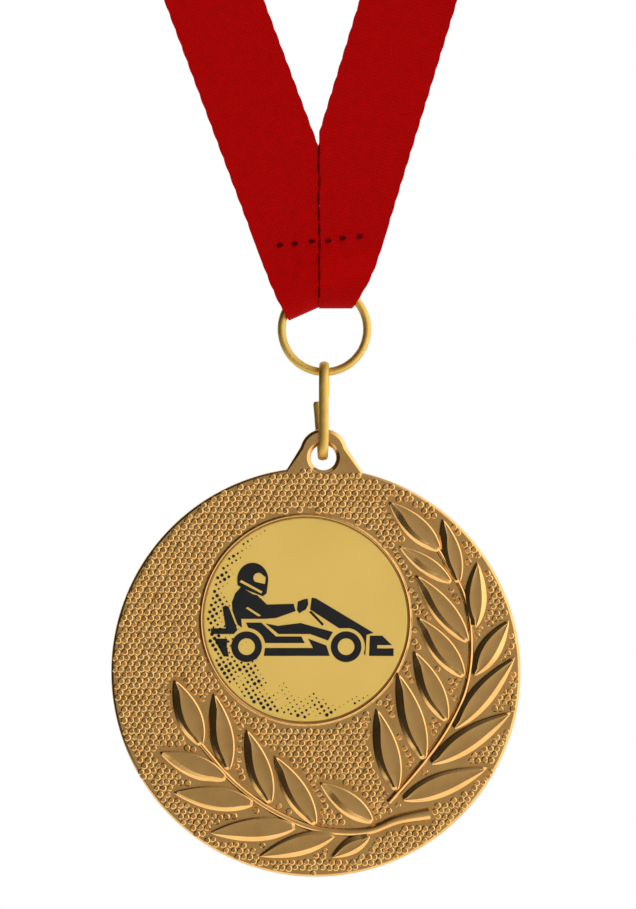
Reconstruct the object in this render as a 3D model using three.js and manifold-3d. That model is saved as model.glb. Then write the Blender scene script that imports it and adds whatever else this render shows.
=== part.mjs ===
// A 50 mm cast medal on an 11 mm neck ribbon, hanging as it is worn.
// Millimetres, +Z up, +X to the wearer's left, +Y from the medal's face towards its back.
// Everything is drawn about the centre of the medal's disc, then shifted so that the origin
// is where the ribbon rests on the back of the neck.

import * as THREE from "three";
import { mergeVertices } from "three/addons/utils/BufferGeometryUtils.js";
import Module from "manifold-3d";

const wasm = await Module();
wasm.setup();

// ---------------------------------------------------------------- driving dimensions (mm)

const DISC_R = 25;                  // a 50 mm medal
const FIELD_Y = -1.15;              // front ground of the casting
const BACK_Y = 1.3;                 // flat reverse
const RIM_BEVEL = 0.4;              // width of the bevelled rim
const RIM_PROUD = 0.1;              // rim's height above the ground
const RELIEF = 0.75;                // height of the leaves above the ground
const SUNK = 0.45;                  // how far a raised piece reaches into the ground it grows from

const EMBLEM = { x: -1.25, z: 6.4, r: 12.45, thick: 0.45 };
const RECESS = { r: 12.6, deep: 0.62, lip: 0.35, lipProud: 0.16 };
const ADHESIVE = { r: 12.0, thick: 0.1 };
const FIT_GAP = 0.03;               // between the casting, the adhesive and the emblem
const SLIVER = 0.004;               // edges shorter than this are closed up after the cuts

// The ear: a hole through a raised border on a web of straight sides, which runs into the disc.
const EAR = { x: 0.93, z: 26.2, hole: 1.55, r: 3.47, half: 1.1, lip: 0.18 };
const EAR_WEB = [[-3.7, 23.6], [5.6, 23.6], [5.1, 24.5], [4.15, 27.3], [-2.3, 27.3], [-3.2, 24.5]];

const RING = { x: 1.05, z: 41.87, mean: 5.22, wire: 0.5, joint: -29, gap: 0.12 };
const CLIP = { x: 0.97, top: 37.95, bottom: 25.83, thick: 0.35, wide: 0.56, inner: 1.5, lead: 0.5 };

const RIBBON = { wide: 11.4, thick: 0.6, length: 800, left: 20.5, right: 17 };
const CROSSING = { x: 0.63, z: 47.1 };   // where the two legs' middle lines meet
const SEAM = { x: 0.4, gap: 0.04 };      // the mitred joint between the legs
const POCKET = { half: 1.65, high: 7.8, tail: 9.6, layers: 0.05 };   // the sewn fold that holds the ring
const FOLD_LEFT = { slope: 24, z: 44.55, pinch: 1.15 };
const FOLD_RIGHT = { slope: 0, z: 44.4, pinch: 1.6 };
const POCKET_TAKES = 2.6;                // ribbon used in each end's turn, beyond the tail's height
const LEG_STARTS = 9.6;                  // a leg's first cut above the crossing point
const LEG_CUTS = [14, 18.5, 40];         // further cuts on its straight run
const WRAP_LEAD = 9;                     // last straight cut before the turn round the neck

const THREAD_R = 0.16;
const THREAD_GAP = 0.1;
const CROSS_SEAM = { leftX: -5.9, leftZ: 51.9, rightX: 6.4, rightZ: 53 };
const CENTRE_SEAM = { low: 47, high: 63.8, steps: 18, hump: 1.1 };

// ---------------------------------------------------------------- finishes

function finish(colour, roughness, metalness) {
  return new THREE.MeshStandardMaterial({ color: colour, roughness, metalness });
}
const CAST_GOLD = finish(0xa57c45, 0.35, 1);
const WIRE_GOLD = finish(0xc9a544, 0.25, 1);
const FOIL_GOLD = finish(0xdeba60, 0.45, 0.7);
const ADHESIVE_WHITE = finish(0xd8d5c8, 0.6, 0);
const RIBBON_RED = finish(0x9e0000, 0.85, 0);
const THREAD_RED = finish(0x7c0409, 0.8, 0);

function named(name, geometry, material) {
  const mesh = new THREE.Mesh(geometry, material);
  mesh.name = name;
  return mesh;
}

// ---------------------------------------------------------------- joining and cutting

function solid(geometry) {
  const bare = geometry.index ? geometry.clone() : geometry;
  bare.deleteAttribute("normal");
  bare.deleteAttribute("uv");
  const merged = mergeVertices(bare, 1e-5);
  const vertProperties = new Float32Array(merged.attributes.position.array);
  const triVerts = new Uint32Array(merged.index.array);
  return new wasm.Manifold(new wasm.Mesh({ numProp: 3, vertProperties, triVerts }));
}

function geometryOf(manifold) {
  const mesh = manifold.getMesh();
  const geometry = new THREE.BufferGeometry();
  geometry.setAttribute("position", new THREE.BufferAttribute(mesh.vertProperties, 3));
  geometry.setIndex(new THREE.BufferAttribute(mesh.triVerts, 1));
  return geometry;
}

// ---------------------------------------------------------------- shapes used more than once

// A turned piece about an axis along Y through (x, z). The profile is [radius, y] pairs, from
// the front to the back.
function turned(profile, segments, x = 0, z = 0) {
  const points = profile.map(([r, y]) => new THREE.Vector2(r, y));
  const geometry = new THREE.LatheGeometry(points, segments);
  geometry.translate(x, 0, z);
  return geometry;
}

// A bar whose sections are loops of the same number of points, closed at both ends.
function lofted(sections) {
  const count = sections[0].length;
  const positions = sections.flat().flatMap((p) => [p.x, p.y, p.z]);
  const index = [];
  for (let i = 0; i + 1 < sections.length; i++) {
    for (let j = 0; j < count; j++) {
      const a = i * count + j;
      const b = i * count + ((j + 1) % count);
      index.push(a, b, b + count, a, b + count, a + count);
    }
  }
  const last = (sections.length - 1) * count;
  for (let j = 1; j + 1 < count; j++) {
    index.push(0, j + 1, j, last, last + j, last + j + 1);
  }
  const geometry = new THREE.BufferGeometry();
  geometry.setAttribute("position", new THREE.Float32BufferAttribute(positions, 3));
  geometry.setIndex(index);
  return geometry;
}

// A raised rib on the medal's ground along a planar path of [x, z] points. width and height
// give its half width and its height at t from 0 to 1.
function rib(path, steps, halfWidth, height) {
  const curve = new THREE.CatmullRomCurve3(path.map(([x, z]) => new THREE.Vector3(x, 0, z)));
  const sections = [];
  for (let i = 0; i <= steps; i++) {
    const t = i / steps;
    const middle = curve.getPoint(t);
    const along = curve.getTangent(t);
    const across = new THREE.Vector3(along.z, 0, -along.x);
    const at = (side, y) => middle.clone().addScaledVector(across, side).setY(y);
    const w = halfWidth(t);
    sections.push([
      at(-w, FIELD_Y + SUNK),
      at(-w, FIELD_Y - 0.1),
      at(0, FIELD_Y - height(t)),
      at(w, FIELD_Y - 0.1),
      at(w, FIELD_Y + SUNK),
    ]);
  }
  return lofted(sections);
}

function wireAlong(curve, steps, halfWide, halfThick, sides) {
  const section = new THREE.Shape();
  for (let i = 0; i < sides; i++) {
    const angle = (2 * Math.PI * i) / sides;
    const x = halfThick * Math.cos(angle);
    const y = halfWide * Math.sin(angle);
    if (i === 0) section.moveTo(x, y);
    else section.lineTo(x, y);
  }
  section.closePath();
  return new THREE.ExtrudeGeometry(section, { steps, bevelEnabled: false, extrudePath: curve });
}

// ---------------------------------------------------------------- the cast medal

// Each leaf: where it leaves the stem, its tip, and its greatest width.
const RIGHT_LEAVES = [
  [15.06, 14.89, 8.95, 20.76, 2.9],
  [17.38, 10.98, 15.43, 18.68, 2.6],
  [16.47, 10.98, 10.17, 15.38, 2.2],
  [19.34, 5.48, 19.65, 13.42, 2.8],
  [18.48, 3.77, 12.19, 11.83, 2.9],
  [19.22, -0.27, 23.5, 6.33, 2.9],
  [18.0, -0.51, 12.37, 6.7, 3.0],
  [16.83, -6.75, 24.23, 1.81, 3.0],
  [15.92, -5.89, 11.92, 2.57, 3.0],
  [14.08, -11.03, 23.74, -4.91, 3.1],
  [13.17, -10.54, 9.93, -0.1, 3.1],
  [10.66, -15.43, 20.84, -11.67, 3.1],
  [9.8, -14.33, 7.36, -4.47, 3.1],
];
const LOW_LEAVES = [
  [-14.03, -8.83, -17.29, -0.95, 3.2],
  [-10.73, -11.88, -12.48, -2.59, 3.0],
  [-10.98, -12.98, -19.01, -9.8, 2.9],
  [-5.6, -15.92, -8.53, -6.99, 3.0],
  [-7.68, -16.04, -17.29, -14.69, 3.0],
  [-0.1, -18.55, -5.11, -10.22, 3.0],
  [-2.54, -18.85, -12.81, -19.58, 3.0],
  [6.87, -18.24, 0.51, -13.47, 2.8],
  [2.22, -19.83, -6.82, -22.4, 2.8],
  [6.5, -19.95, 1.86, -22.57, 2.2],
];
const RIGHT_STEM = [[8.9, -15.9], [13.2, -10.9], [16.3, -6.4], [18.35, -1.8], [18.95, 3.9], [18.0, 9.6], [14.9, 15]];
const LOW_STEM = [[-14.1, -8.7], [-9.9, -13.5], [-4.9, -17.1], [0.4, -19.2], [6.2, -19.4], [10, -18], [13.9, -17.25]];

function leaf([baseX, baseZ, tipX, tipZ, wide]) {
  const halfWidth = (t) => 0.12 + (wide / 2 - 0.12) * Math.sin(Math.PI * Math.pow(t, 0.85)) ** 0.9;
  const height = (t) => 0.15 + (RELIEF - 0.15) * Math.sin(Math.PI * Math.pow(t, 0.8)) ** 0.7;
  return rib([[baseX, baseZ], [(baseX + tipX) / 2, (baseZ + tipZ) / 2], [tipX, tipZ]], 8, halfWidth, height);
}

function ear() {
  const { x, z, hole, r, half, lip } = EAR;
  const web = new THREE.Shape(EAR_WEB.map(([webX, webZ]) => new THREE.Vector2(webX, webZ)));
  const plate = new THREE.ExtrudeGeometry(web, { depth: 2 * half, bevelEnabled: false });
  plate.rotateX(Math.PI / 2);
  plate.translate(0, half, 0);
  const collar = turned([
    [0, -half],
    [r - 1, -half],
    [r - 0.75, -half - lip],
    [r - 0.4, -half - lip],
    [r, -half + 0.3],
    [r, half - 0.3],
    [r - 0.4, half + lip],
    [r - 0.75, half + lip],
    [r - 1, half],
    [0, half],
  ], 40, x, z);
  const drill = turned([[0, -4], [hole, -4], [hole, 4], [0, 4]], 40, x, z);
  return { body: solid(plate).add(solid(collar)), drill: solid(drill) };
}

function medalCasting() {
  const face = FIELD_Y;
  const disc = turned([
    [0, face],
    [DISC_R - RIM_BEVEL - 0.15, face],
    [DISC_R - RIM_BEVEL, face - RIM_PROUD],
    [DISC_R - 0.25, face - RIM_PROUD],
    [DISC_R, face + 0.2],
    [DISC_R, BACK_Y - 0.25],
    [DISC_R - 0.25, BACK_Y],
    [0, BACK_Y],
  ], 96);
  const lipOuter = RECESS.r + RECESS.lip;
  const lip = turned([
    [0, face - RECESS.lipProud],
    [lipOuter - 0.12, face - RECESS.lipProud],
    [lipOuter, face - 0.03],
    [lipOuter, face + SUNK],
    [0, face + SUNK],
  ], 72, EMBLEM.x, EMBLEM.z);
  const recess = turned([
    [0, face - 3],
    [RECESS.r, face - 3],
    [RECESS.r, face + RECESS.deep],
    [0, face + RECESS.deep],
  ], 72, EMBLEM.x, EMBLEM.z);
  const { body, drill } = ear();
  let casting = solid(disc).add(body).add(solid(lip));
  for (const row of [...RIGHT_LEAVES, ...LOW_LEAVES]) {
    casting = casting.add(solid(leaf(row)));
  }
  casting = casting.add(solid(rib(RIGHT_STEM, 22, () => 0.38, () => 0.5)));
  casting = casting.add(solid(rib(LOW_STEM, 22, (t) => 0.36 + 0.4 * t * t, () => 0.5)));
  return geometryOf(casting.subtract(solid(recess)).subtract(drill).simplify(SLIVER));
}

// A flat round disc from y = front to y = back, centred on the emblem.
function emblemLayer(r, front, back) {
  return turned([[0, front], [r, front], [r, back], [0, back]], 72, EMBLEM.x, EMBLEM.z);
}

// ---------------------------------------------------------------- the ring and the clip

function jumpRing() {
  const half = (RING.gap / 2 / RING.mean) * (180 / Math.PI);
  const start = THREE.MathUtils.degToRad(RING.joint + half);
  const sweep = THREE.MathUtils.degToRad(360 - 2 * half);
  class Hoop extends THREE.Curve {
    getPoint(t, target = new THREE.Vector3()) {
      const angle = start + sweep * t;
      return target.set(RING.x + RING.mean * Math.cos(angle), 0, RING.z + RING.mean * Math.sin(angle));
    }
  }
  return wireAlong(new Hoop(), 56, RING.wire, RING.wire, 10);
}

// An upright oval of flat wire in the YZ plane. It starts behind the ear, beside its other end,
// runs under the ear's bar, up the front, over the ring and down the back.
function wireClip() {
  const { x, top, bottom, thick, inner, lead } = CLIP;
  const mean = inner + thick;
  const low = bottom + thick + mean;
  const high = top - thick - mean;
  const points = [
    [x - lead - 0.22, mean, high - 2.7],
    [x - lead - 0.1, mean, high - 4],
    [x - lead + 0.1, mean, low + 1.2],
    [x - 0.25, mean, low],
  ];
  for (let i = 1; i < 6; i++) {
    const angle = (Math.PI * i) / 6;
    points.push([x - 0.25 + (0.25 * i) / 6, mean * Math.cos(angle), low - mean * Math.sin(angle)]);
  }
  points.push([x, -mean, low], [x, -mean, (low + high) / 2], [x, -mean, high]);
  for (let i = 1; i < 6; i++) {
    const angle = (Math.PI * i) / 6;
    points.push([x + (0.3 * i) / 6, -mean * Math.cos(angle), high + mean * Math.sin(angle)]);
  }
  points.push([x + 0.35, mean, high], [x + lead + 0.25, mean, high - 2.4], [x + lead + 0.25, mean, low + 2.2]);
  const curve = new THREE.CatmullRomCurve3(points.map((p) => new THREE.Vector3(...p)), false, "centripetal");
  return wireAlong(curve, 60, CLIP.wide, CLIP.thick, 10);
}

// ---------------------------------------------------------------- the neck ribbon

const LAYER_Y = RIBBON.thick / 2 + POCKET.layers;     // middle of the front layer, in front of y = 0
const HALF_TURN = Math.PI;

// A leg goes up from the crossing point at an angle from vertical, then half a turn round a
// cylinder whose axis halves the angle between the leg and the level run behind the neck.
function legFrame(angle, side) {
  const tilt = THREE.MathUtils.degToRad(angle);
  const beta = (Math.PI / 2 - tilt) / 2;
  return {
    side,
    tilt,
    up: new THREE.Vector2(side * Math.sin(tilt), Math.cos(tilt)),
    out: new THREE.Vector2(side * Math.cos(tilt), -Math.sin(tilt)),
    axis: new THREE.Vector2(-side * Math.sin(beta), Math.cos(beta)),
    round: new THREE.Vector2(side * Math.cos(beta), Math.sin(beta)),
    rise: Math.sin(beta),                       // of the half turn, over pi R
    shift: Math.tan(beta) * Math.sin(beta),     // towards the middle, over pi R
    run: 1 / Math.cos(beta),                    // length of the half turn, over pi R
  };
}
const LEFT = legFrame(RIBBON.left, -1);
const RIGHT = legFrame(RIBBON.right, 1);

// Over pi R: how far the back of the neck is above the crossing point.
const NAPE_RISE = (() => {
  const spread = Math.tan(LEFT.tilt) + Math.tan(RIGHT.tilt);
  const reach = (leg) => leg.rise * Math.tan(leg.tilt) + leg.shift;
  return (reach(LEFT) + reach(RIGHT)) / spread;
})();
const legRun = (leg) => (NAPE_RISE - leg.rise) / Math.cos(leg.tilt) + leg.run;
const END_LENGTH = 2 * (POCKET.tail + POCKET_TAKES);
const TURN = (RIBBON.length - END_LENGTH) / (legRun(LEFT) + legRun(RIGHT));   // pi R
const NAPE_R = TURN / Math.PI;
const NAPE_Z = CROSSING.z + NAPE_RISE * TURN;
const straightRun = (leg) => ((NAPE_RISE - leg.rise) * TURN) / Math.cos(leg.tilt);
const NAPE_X = CROSSING.x + LEFT.side * Math.tan(LEFT.tilt) * (NAPE_RISE - LEFT.rise) * TURN + LEFT.shift * TURN;

// Rolls a point of the flat leg (x, z) round its cylinder. Gives the place and the outward normal.
function rolled(leg, x, z) {
  const startX = CROSSING.x + leg.up.x * straightRun(leg);
  const startZ = CROSSING.z + leg.up.y * straightRun(leg);
  const dx = x - startX;
  const dz = z - startZ;
  const along = dx * leg.axis.x + dz * leg.axis.y;
  const wound = dx * leg.round.x + dz * leg.round.y;
  const angle = Math.min(Math.max(wound / NAPE_R, 0), HALF_TURN);
  let reach = NAPE_R * Math.sin(angle);
  if (wound < 0) reach = wound;
  if (wound > HALF_TURN * NAPE_R) reach = HALF_TURN * NAPE_R - wound;
  return {
    place: new THREE.Vector3(
      startX + leg.axis.x * along + leg.round.x * reach,
      -LAYER_Y + NAPE_R * (1 - Math.cos(angle)),
      startZ + leg.axis.y * along + leg.round.y * reach,
    ),
    normal: new THREE.Vector3(leg.round.x * Math.sin(angle), -Math.cos(angle), leg.round.y * Math.sin(angle)),
  };
}

// The four corners of a cut across the ribbon: outer edge then inner edge, both faces.
function ribbonCut(outer, inner) {
  const h = RIBBON.thick / 2;
  return [
    outer.place.clone().addScaledVector(outer.normal, h),
    inner.place.clone().addScaledVector(inner.normal, h),
    inner.place.clone().addScaledVector(inner.normal, -h),
    outer.place.clone().addScaledVector(outer.normal, -h),
  ];
}

// A cut square across the leg at a distance above the crossing point, kept off the mitred seam.
function legCut(leg, distance) {
  const half = RIBBON.wide / 2;
  const at = (across) => [
    CROSSING.x + leg.up.x * distance + leg.out.x * across,
    CROSSING.z + leg.up.y * distance + leg.out.y * across,
  ];
  const seamX = SEAM.x + leg.side * SEAM.gap;
  const [middleX] = at(0);
  const toSeam = (seamX - middleX) / leg.out.x;
  const innerEdge = Math.max(-half, toSeam);
  return ribbonCut(rolled(leg, ...at(half)), rolled(leg, ...at(innerEdge)));
}

// How far in front of the middle the pocket's front layer stands at a height above the fold.
const BULGE = POCKET.half + RIBBON.thick / 2;
const FOLD_CENTRE = RIBBON.thick / 2 + BULGE;
function layerOut(height) {
  const s = THREE.MathUtils.clamp((height - FOLD_CENTRE) / (POCKET.high - FOLD_CENTRE), 0, 1);
  return BULGE + (LAYER_Y - BULGE) * s * s * (3 - 2 * s);
}

// The pocket's side view, from the tail's end behind, round the fold and up to the cross seam in
// front: [height above the fold, y, and the normal's two parts].
function pocketLine() {
  const closing = 7;
  const turning = 10;
  const rows = [[POCKET.tail, LAYER_Y, 0, 1]];
  for (let i = closing; i >= 0; i--) {
    const height = FOLD_CENTRE + ((POCKET.high - FOLD_CENTRE) * i) / closing;
    rows.push([height, layerOut(height), 0, 1]);
  }
  for (let i = 1; i <= turning; i++) {
    const angle = (Math.PI * i) / turning;
    rows.push([FOLD_CENTRE - BULGE * Math.sin(angle), BULGE * Math.cos(angle), -Math.sin(angle), Math.cos(angle)]);
  }
  for (let i = 1; i <= closing; i++) {
    const height = FOLD_CENTRE + ((POCKET.high - FOLD_CENTRE) * i) / closing;
    rows.push([height, -layerOut(height), 0, -1]);
  }
  return rows;
}

// Cuts of one leg's pocket. The ribbon is pinched at the fold, where the round ring squeezes it.
function pocketCuts(leg, fold) {
  const slope = THREE.MathUtils.degToRad(fold.slope);
  const along = new THREE.Vector2(leg.side * Math.cos(slope), -Math.sin(slope));
  const up = new THREE.Vector2(leg.side * Math.sin(slope), Math.cos(slope));
  const seamX = SEAM.x + leg.side * SEAM.gap;
  const edgeX = CROSSING.x + (leg.out.x * RIBBON.wide) / 2;
  const edgeZ = CROSSING.z + (leg.out.y * RIBBON.wide) / 2;
  return pocketLine().map(([m, y, nm, ny]) => {
    const x0 = seamX + up.x * m;
    const z0 = fold.z + up.y * m;
    const inner = (seamX - x0) / along.x;
    const det = along.x * leg.up.y - along.y * leg.up.x;
    const edge = ((edgeX - x0) * leg.up.y - (edgeZ - z0) * leg.up.x) / det;
    const squeeze = Math.max(0, 1 - m / POCKET.high);
    const outer = edge - fold.pinch * squeeze ** 3;
    const normal = new THREE.Vector3(up.x * nm, ny, up.y * nm);
    const place = (s) => ({
      place: new THREE.Vector3(x0 + along.x * s, y, z0 + along.y * s),
      normal,
    });
    return ribbonCut(place(outer), place(inner));
  });
}

function legCuts(leg, fold) {
  const cuts = pocketCuts(leg, fold);
  const straight = straightRun(leg);
  const whole = straight + leg.run * TURN;
  const wrapStart = straight - WRAP_LEAD;
  for (const distance of [LEG_STARTS, ...LEG_CUTS, wrapStart]) {
    cuts.push(legCut(leg, distance));
  }
  const steps = 22;
  for (let i = 1; i <= steps; i++) {
    cuts.push(legCut(leg, wrapStart + ((whole - wrapStart) * i) / steps));
  }
  return cuts;
}

// The right leg runs the other way, and its cuts' corners are turned over to match the left's.
function neckRibbon() {
  const left = legCuts(LEFT, FOLD_LEFT);
  const right = legCuts(RIGHT, FOLD_RIGHT).slice(0, -1).reverse();
  return lofted([...left, ...right]);
}

// ---------------------------------------------------------------- the sewing thread

const FACE_Y = -LAYER_Y - RIBBON.thick / 2 - THREAD_R - THREAD_GAP;

function threadAlong(points, steps) {
  const curve = new THREE.CatmullRomCurve3(points.map((p) => new THREE.Vector3(...p)), false, "centripetal");
  return wireAlong(curve, steps, THREAD_R, THREAD_R, 8);
}

function crossSeam() {
  const { leftX, leftZ, rightX, rightZ } = CROSS_SEAM;
  return threadAlong([[leftX, FACE_Y, leftZ], [rightX, FACE_Y, rightZ]], 2);
}

// Runs up the mitred joint on the pocket's front, over the cross seam, to the crotch of the legs.
function centreSeam() {
  const { low, high, steps, hump } = CENTRE_SEAM;
  const crossing = (CROSS_SEAM.leftZ + CROSS_SEAM.rightZ) / 2;
  const leftCosine = Math.cos(THREE.MathUtils.degToRad(FOLD_LEFT.slope));
  const points = [];
  for (let i = 0; i <= steps; i++) {
    const z = low + ((high - low) * i) / steps;
    const out = Math.max(layerOut(z - FOLD_RIGHT.z), layerOut((z - FOLD_LEFT.z) * leftCosine));
    const over = 3 * THREAD_R * Math.exp(-(((z - crossing) / hump) ** 2));
    points.push([SEAM.x, -out - RIBBON.thick / 2 - THREAD_R - THREAD_GAP - over, z]);
  }
  return threadAlong(points, 2 * steps);
}

// ---------------------------------------------------------------- the whole medal

const emblemBack = FIELD_Y + RECESS.deep - FIT_GAP;
const adhesiveFront = emblemBack - ADHESIVE.thick;
const emblemUnder = adhesiveFront - FIT_GAP;

const hung = new THREE.Group();
hung.position.set(-NAPE_X, LAYER_Y - 2 * NAPE_R + RIBBON.thick / 2, -NAPE_Z);
hung.add(named("neck_ribbon", neckRibbon(), RIBBON_RED));
hung.add(named("cross_seam", crossSeam(), THREAD_RED));
hung.add(named("centre_seam", centreSeam(), THREAD_RED));
hung.add(named("jump_ring", jumpRing(), WIRE_GOLD));
hung.add(named("wire_clip", wireClip(), WIRE_GOLD));
hung.add(named("medal_casting", medalCasting(), CAST_GOLD));
hung.add(named("emblem_adhesive", emblemLayer(ADHESIVE.r, adhesiveFront, emblemBack), ADHESIVE_WHITE));
hung.add(named("emblem_disc", emblemLayer(EMBLEM.r, emblemUnder - EMBLEM.thick, emblemUnder), FOIL_GOLD));

const medal = new THREE.Group();
medal.add(hung);
export default medal;
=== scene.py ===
# %% [markdown]
# # A cast medal on a neck ribbon
# The medal is a 50 mm brass-plated casting with a pebbled field, two laurel sprays and a printed
# disc glued into a round recess. A flat wire clip and a jump ring hang it from a sewn ribbon.
# The CAD model already fixes every size and joint, so this lesson only makes the fine surface:
# it reads where each part sits and builds the visible pieces around those places.

# %% Load the fixed frame
import math

import bmesh
import bpy
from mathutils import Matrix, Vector
from mathutils.geometry import tessellate_polygon


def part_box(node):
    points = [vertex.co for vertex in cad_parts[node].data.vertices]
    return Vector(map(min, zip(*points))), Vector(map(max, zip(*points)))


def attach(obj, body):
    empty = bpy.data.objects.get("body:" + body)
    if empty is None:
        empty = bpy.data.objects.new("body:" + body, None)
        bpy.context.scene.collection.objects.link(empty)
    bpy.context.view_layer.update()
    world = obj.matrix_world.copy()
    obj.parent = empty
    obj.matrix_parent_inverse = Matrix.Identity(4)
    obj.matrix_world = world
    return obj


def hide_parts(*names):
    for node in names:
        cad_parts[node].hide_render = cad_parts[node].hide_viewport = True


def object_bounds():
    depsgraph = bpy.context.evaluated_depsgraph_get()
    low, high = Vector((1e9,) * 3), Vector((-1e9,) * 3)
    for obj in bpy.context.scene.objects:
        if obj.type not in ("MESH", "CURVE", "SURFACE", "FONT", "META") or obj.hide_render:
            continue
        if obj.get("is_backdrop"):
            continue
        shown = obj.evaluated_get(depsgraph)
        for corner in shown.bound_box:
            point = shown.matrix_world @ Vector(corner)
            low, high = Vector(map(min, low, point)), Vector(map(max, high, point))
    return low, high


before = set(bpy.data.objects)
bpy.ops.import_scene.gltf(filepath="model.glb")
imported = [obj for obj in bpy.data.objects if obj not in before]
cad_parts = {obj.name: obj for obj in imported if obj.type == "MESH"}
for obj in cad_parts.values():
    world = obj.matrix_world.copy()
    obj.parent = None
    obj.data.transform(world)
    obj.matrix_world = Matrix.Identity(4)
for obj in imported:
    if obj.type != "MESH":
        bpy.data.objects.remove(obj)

cad_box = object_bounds()
print("CAD box", [round(side * 1000, 1) for side in cad_box[1] - cad_box[0]], "mm")

# %% [markdown]
# ## One point to measure from
# A die maker measures a medal from the middle of its disc, so every size below is in millimetres
# from there: x to the right, y towards the back, z up. The casting's box gives that point in
# the frame, because the disc reaches its left, lower and rear sides.

# %% The disc's centre, in the frame
MM = 0.001
DISC_R = 25
BACK_Y = 1.3
casting_low, casting_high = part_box("medal_casting")
CENTRE = Vector((
    casting_low.x + DISC_R * MM,
    casting_high.y - BACK_Y * MM,
    casting_low.z + DISC_R * MM,
))


def spot(x, y, z):
    """A point given in millimetres from the disc's centre, in the frame's metres."""
    return CENTRE + Vector((x, y, z)) * MM


print("disc centre", [round(c * 1000, 2) for c in CENTRE], "mm")

# %% [markdown]
# ## Camera
# A catalogue shows a small object through a long lens from straight in front, so that its sides
# don't show. The lens length follows from how much of the object fills the picture.

# %% A long lens, straight in front
STAND_BACK = 800
SEEN_HIGH = 111.1
SENSOR = 36
AIM_X = 0.27
AIM_Z = 26.56

camera_data = bpy.data.cameras.new("catalogue_camera")
camera_data.sensor_width = SENSOR
camera_data.lens = SENSOR * STAND_BACK / SEEN_HIGH
camera_data.clip_start = 0.01
camera_data.clip_end = 60
camera = bpy.data.objects.new("catalogue_camera", camera_data)
camera.location = spot(AIM_X, -STAND_BACK, AIM_Z)
camera.rotation_euler = (math.radians(90), 0, 0)
bpy.context.scene.collection.objects.link(camera)
bpy.context.scene.camera = camera
bpy.context.scene.view_settings.view_transform = "Standard"
print("lens", round(camera_data.lens), "mm")

# %% [markdown]
# ## Nodes
# Materials, the light tent and the Geometry Nodes below are all trees of nodes. One helper
# adds any node, with its settings and with what goes into its sockets.

# %% A helper for nodes
def add_node(tree, kind, inputs=None, **settings):
    """Adds one node. Each input takes a value, or another node's output, which is linked to it."""
    made = tree.nodes.new(kind)
    for name, value in settings.items():
        setattr(made, name, value)
    for socket, source in (inputs or {}).items():
        if isinstance(source, bpy.types.NodeSocket):
            tree.links.new(source, made.inputs[socket])
        else:
            made.inputs[socket].default_value = source
    return made


def linear(hex_colour, alpha=1.0):
    """An sRGB hex colour as the linear RGBA that Blender's sockets hold."""
    parts = [int(hex_colour[i:i + 2], 16) / 255 for i in (1, 3, 5)]
    return (*[p / 12.92 if p <= 0.04045 else ((p + 0.055) / 1.055) ** 2.4 for p in parts], alpha)


def set_stops(ramp_node, stops):
    """Fills a colour ramp with (place, colour) stops."""
    ramp = ramp_node.color_ramp
    while len(ramp.elements) < len(stops):
        ramp.elements.new(0.5)
    for element, (place, colour) in zip(ramp.elements, stops):
        element.position = place
        element.color = colour


# %% [markdown]
# ## The light tent
# Shiny relief shows what stands around it, not the lamp. Metal like this is set in a white tent,
# with the lamps on one side and a dark card on the other: each bead and leaf then has a bright
# lower right edge and a dark upper left one. The world is that tent. Its brightness depends only
# on the direction, and the walls behind the medal are white.

# %% The tent as a world
KEY_SIDE = Vector((0.98, 0, -0.15)).normalized()

tent = bpy.data.worlds.new("light_tent")
bpy.context.scene.world = tent
tent.use_nodes = True
tree = tent.node_tree
tree.nodes.clear()
direction = add_node(tree, "ShaderNodeTexCoord").outputs["Generated"]
apart = add_node(tree, "ShaderNodeSeparateXYZ", {0: direction})
towards_key = add_node(tree, "ShaderNodeVectorMath", {0: direction, 1: KEY_SIDE}, operation="DOT_PRODUCT")
key_place = add_node(tree, "ShaderNodeMapRange", {
    "From Min": -1, "From Max": 1, "Value": towards_key.outputs["Value"],
})
tent_wall = add_node(tree, "ShaderNodeValToRGB", {0: key_place.outputs[0]})
GREYS = [
    (0.0, 0.03), (0.33, 0.04), (0.4, 0.12), (0.45, 0.42), (0.55, 0.47),
    (0.62, 0.9), (0.7, 1.6), (0.85, 2.1), (1.0, 1.8),
]
set_stops(tent_wall, [(place, (grey, grey, grey, 1)) for place, grey in GREYS])
behind = add_node(tree, "ShaderNodeMapRange", {
    "From Min": 0.2, "From Max": 0.7, "Value": apart.outputs["Y"],
}, interpolation_type="SMOOTHSTEP")
below = add_node(tree, "ShaderNodeMapRange", {
    "From Min": -0.41, "From Max": -0.54, "Value": apart.outputs["Z"],
}, interpolation_type="SMOOTHSTEP")
with_table = add_node(tree, "ShaderNodeMix", {
    "B": (1.5, 1.5, 1.5, 1), "Factor": below.outputs[0], "A": tent_wall.outputs["Color"],
}, data_type="RGBA")
with_back = add_node(tree, "ShaderNodeMix", {
    "B": (1.15, 1.15, 1.15, 1), "Factor": behind.outputs[0], "A": with_table.outputs["Result"],
}, data_type="RGBA")
is_seen = add_node(tree, "ShaderNodeLightPath").outputs["Is Camera Ray"]
seen = add_node(tree, "ShaderNodeMix", {
    "B": (1, 1, 1, 1), "Factor": is_seen, "A": with_back.outputs["Result"],
}, data_type="RGBA")
background = add_node(tree, "ShaderNodeBackground", {"Color": seen.outputs["Result"]})
add_node(tree, "ShaderNodeOutputWorld", {"Surface": background.outputs[0]})

# %% [markdown]
# ## Floor and overhead light
# The medal hangs well above a pale floor, and a wide soft lamp overhead keeps that floor light.
# Both are hidden from reflections, because the tent already says what the metal shows.

# %% The floor and the lamp
FLOOR_Z = -1.0
FLOOR_R = 9.0

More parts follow.
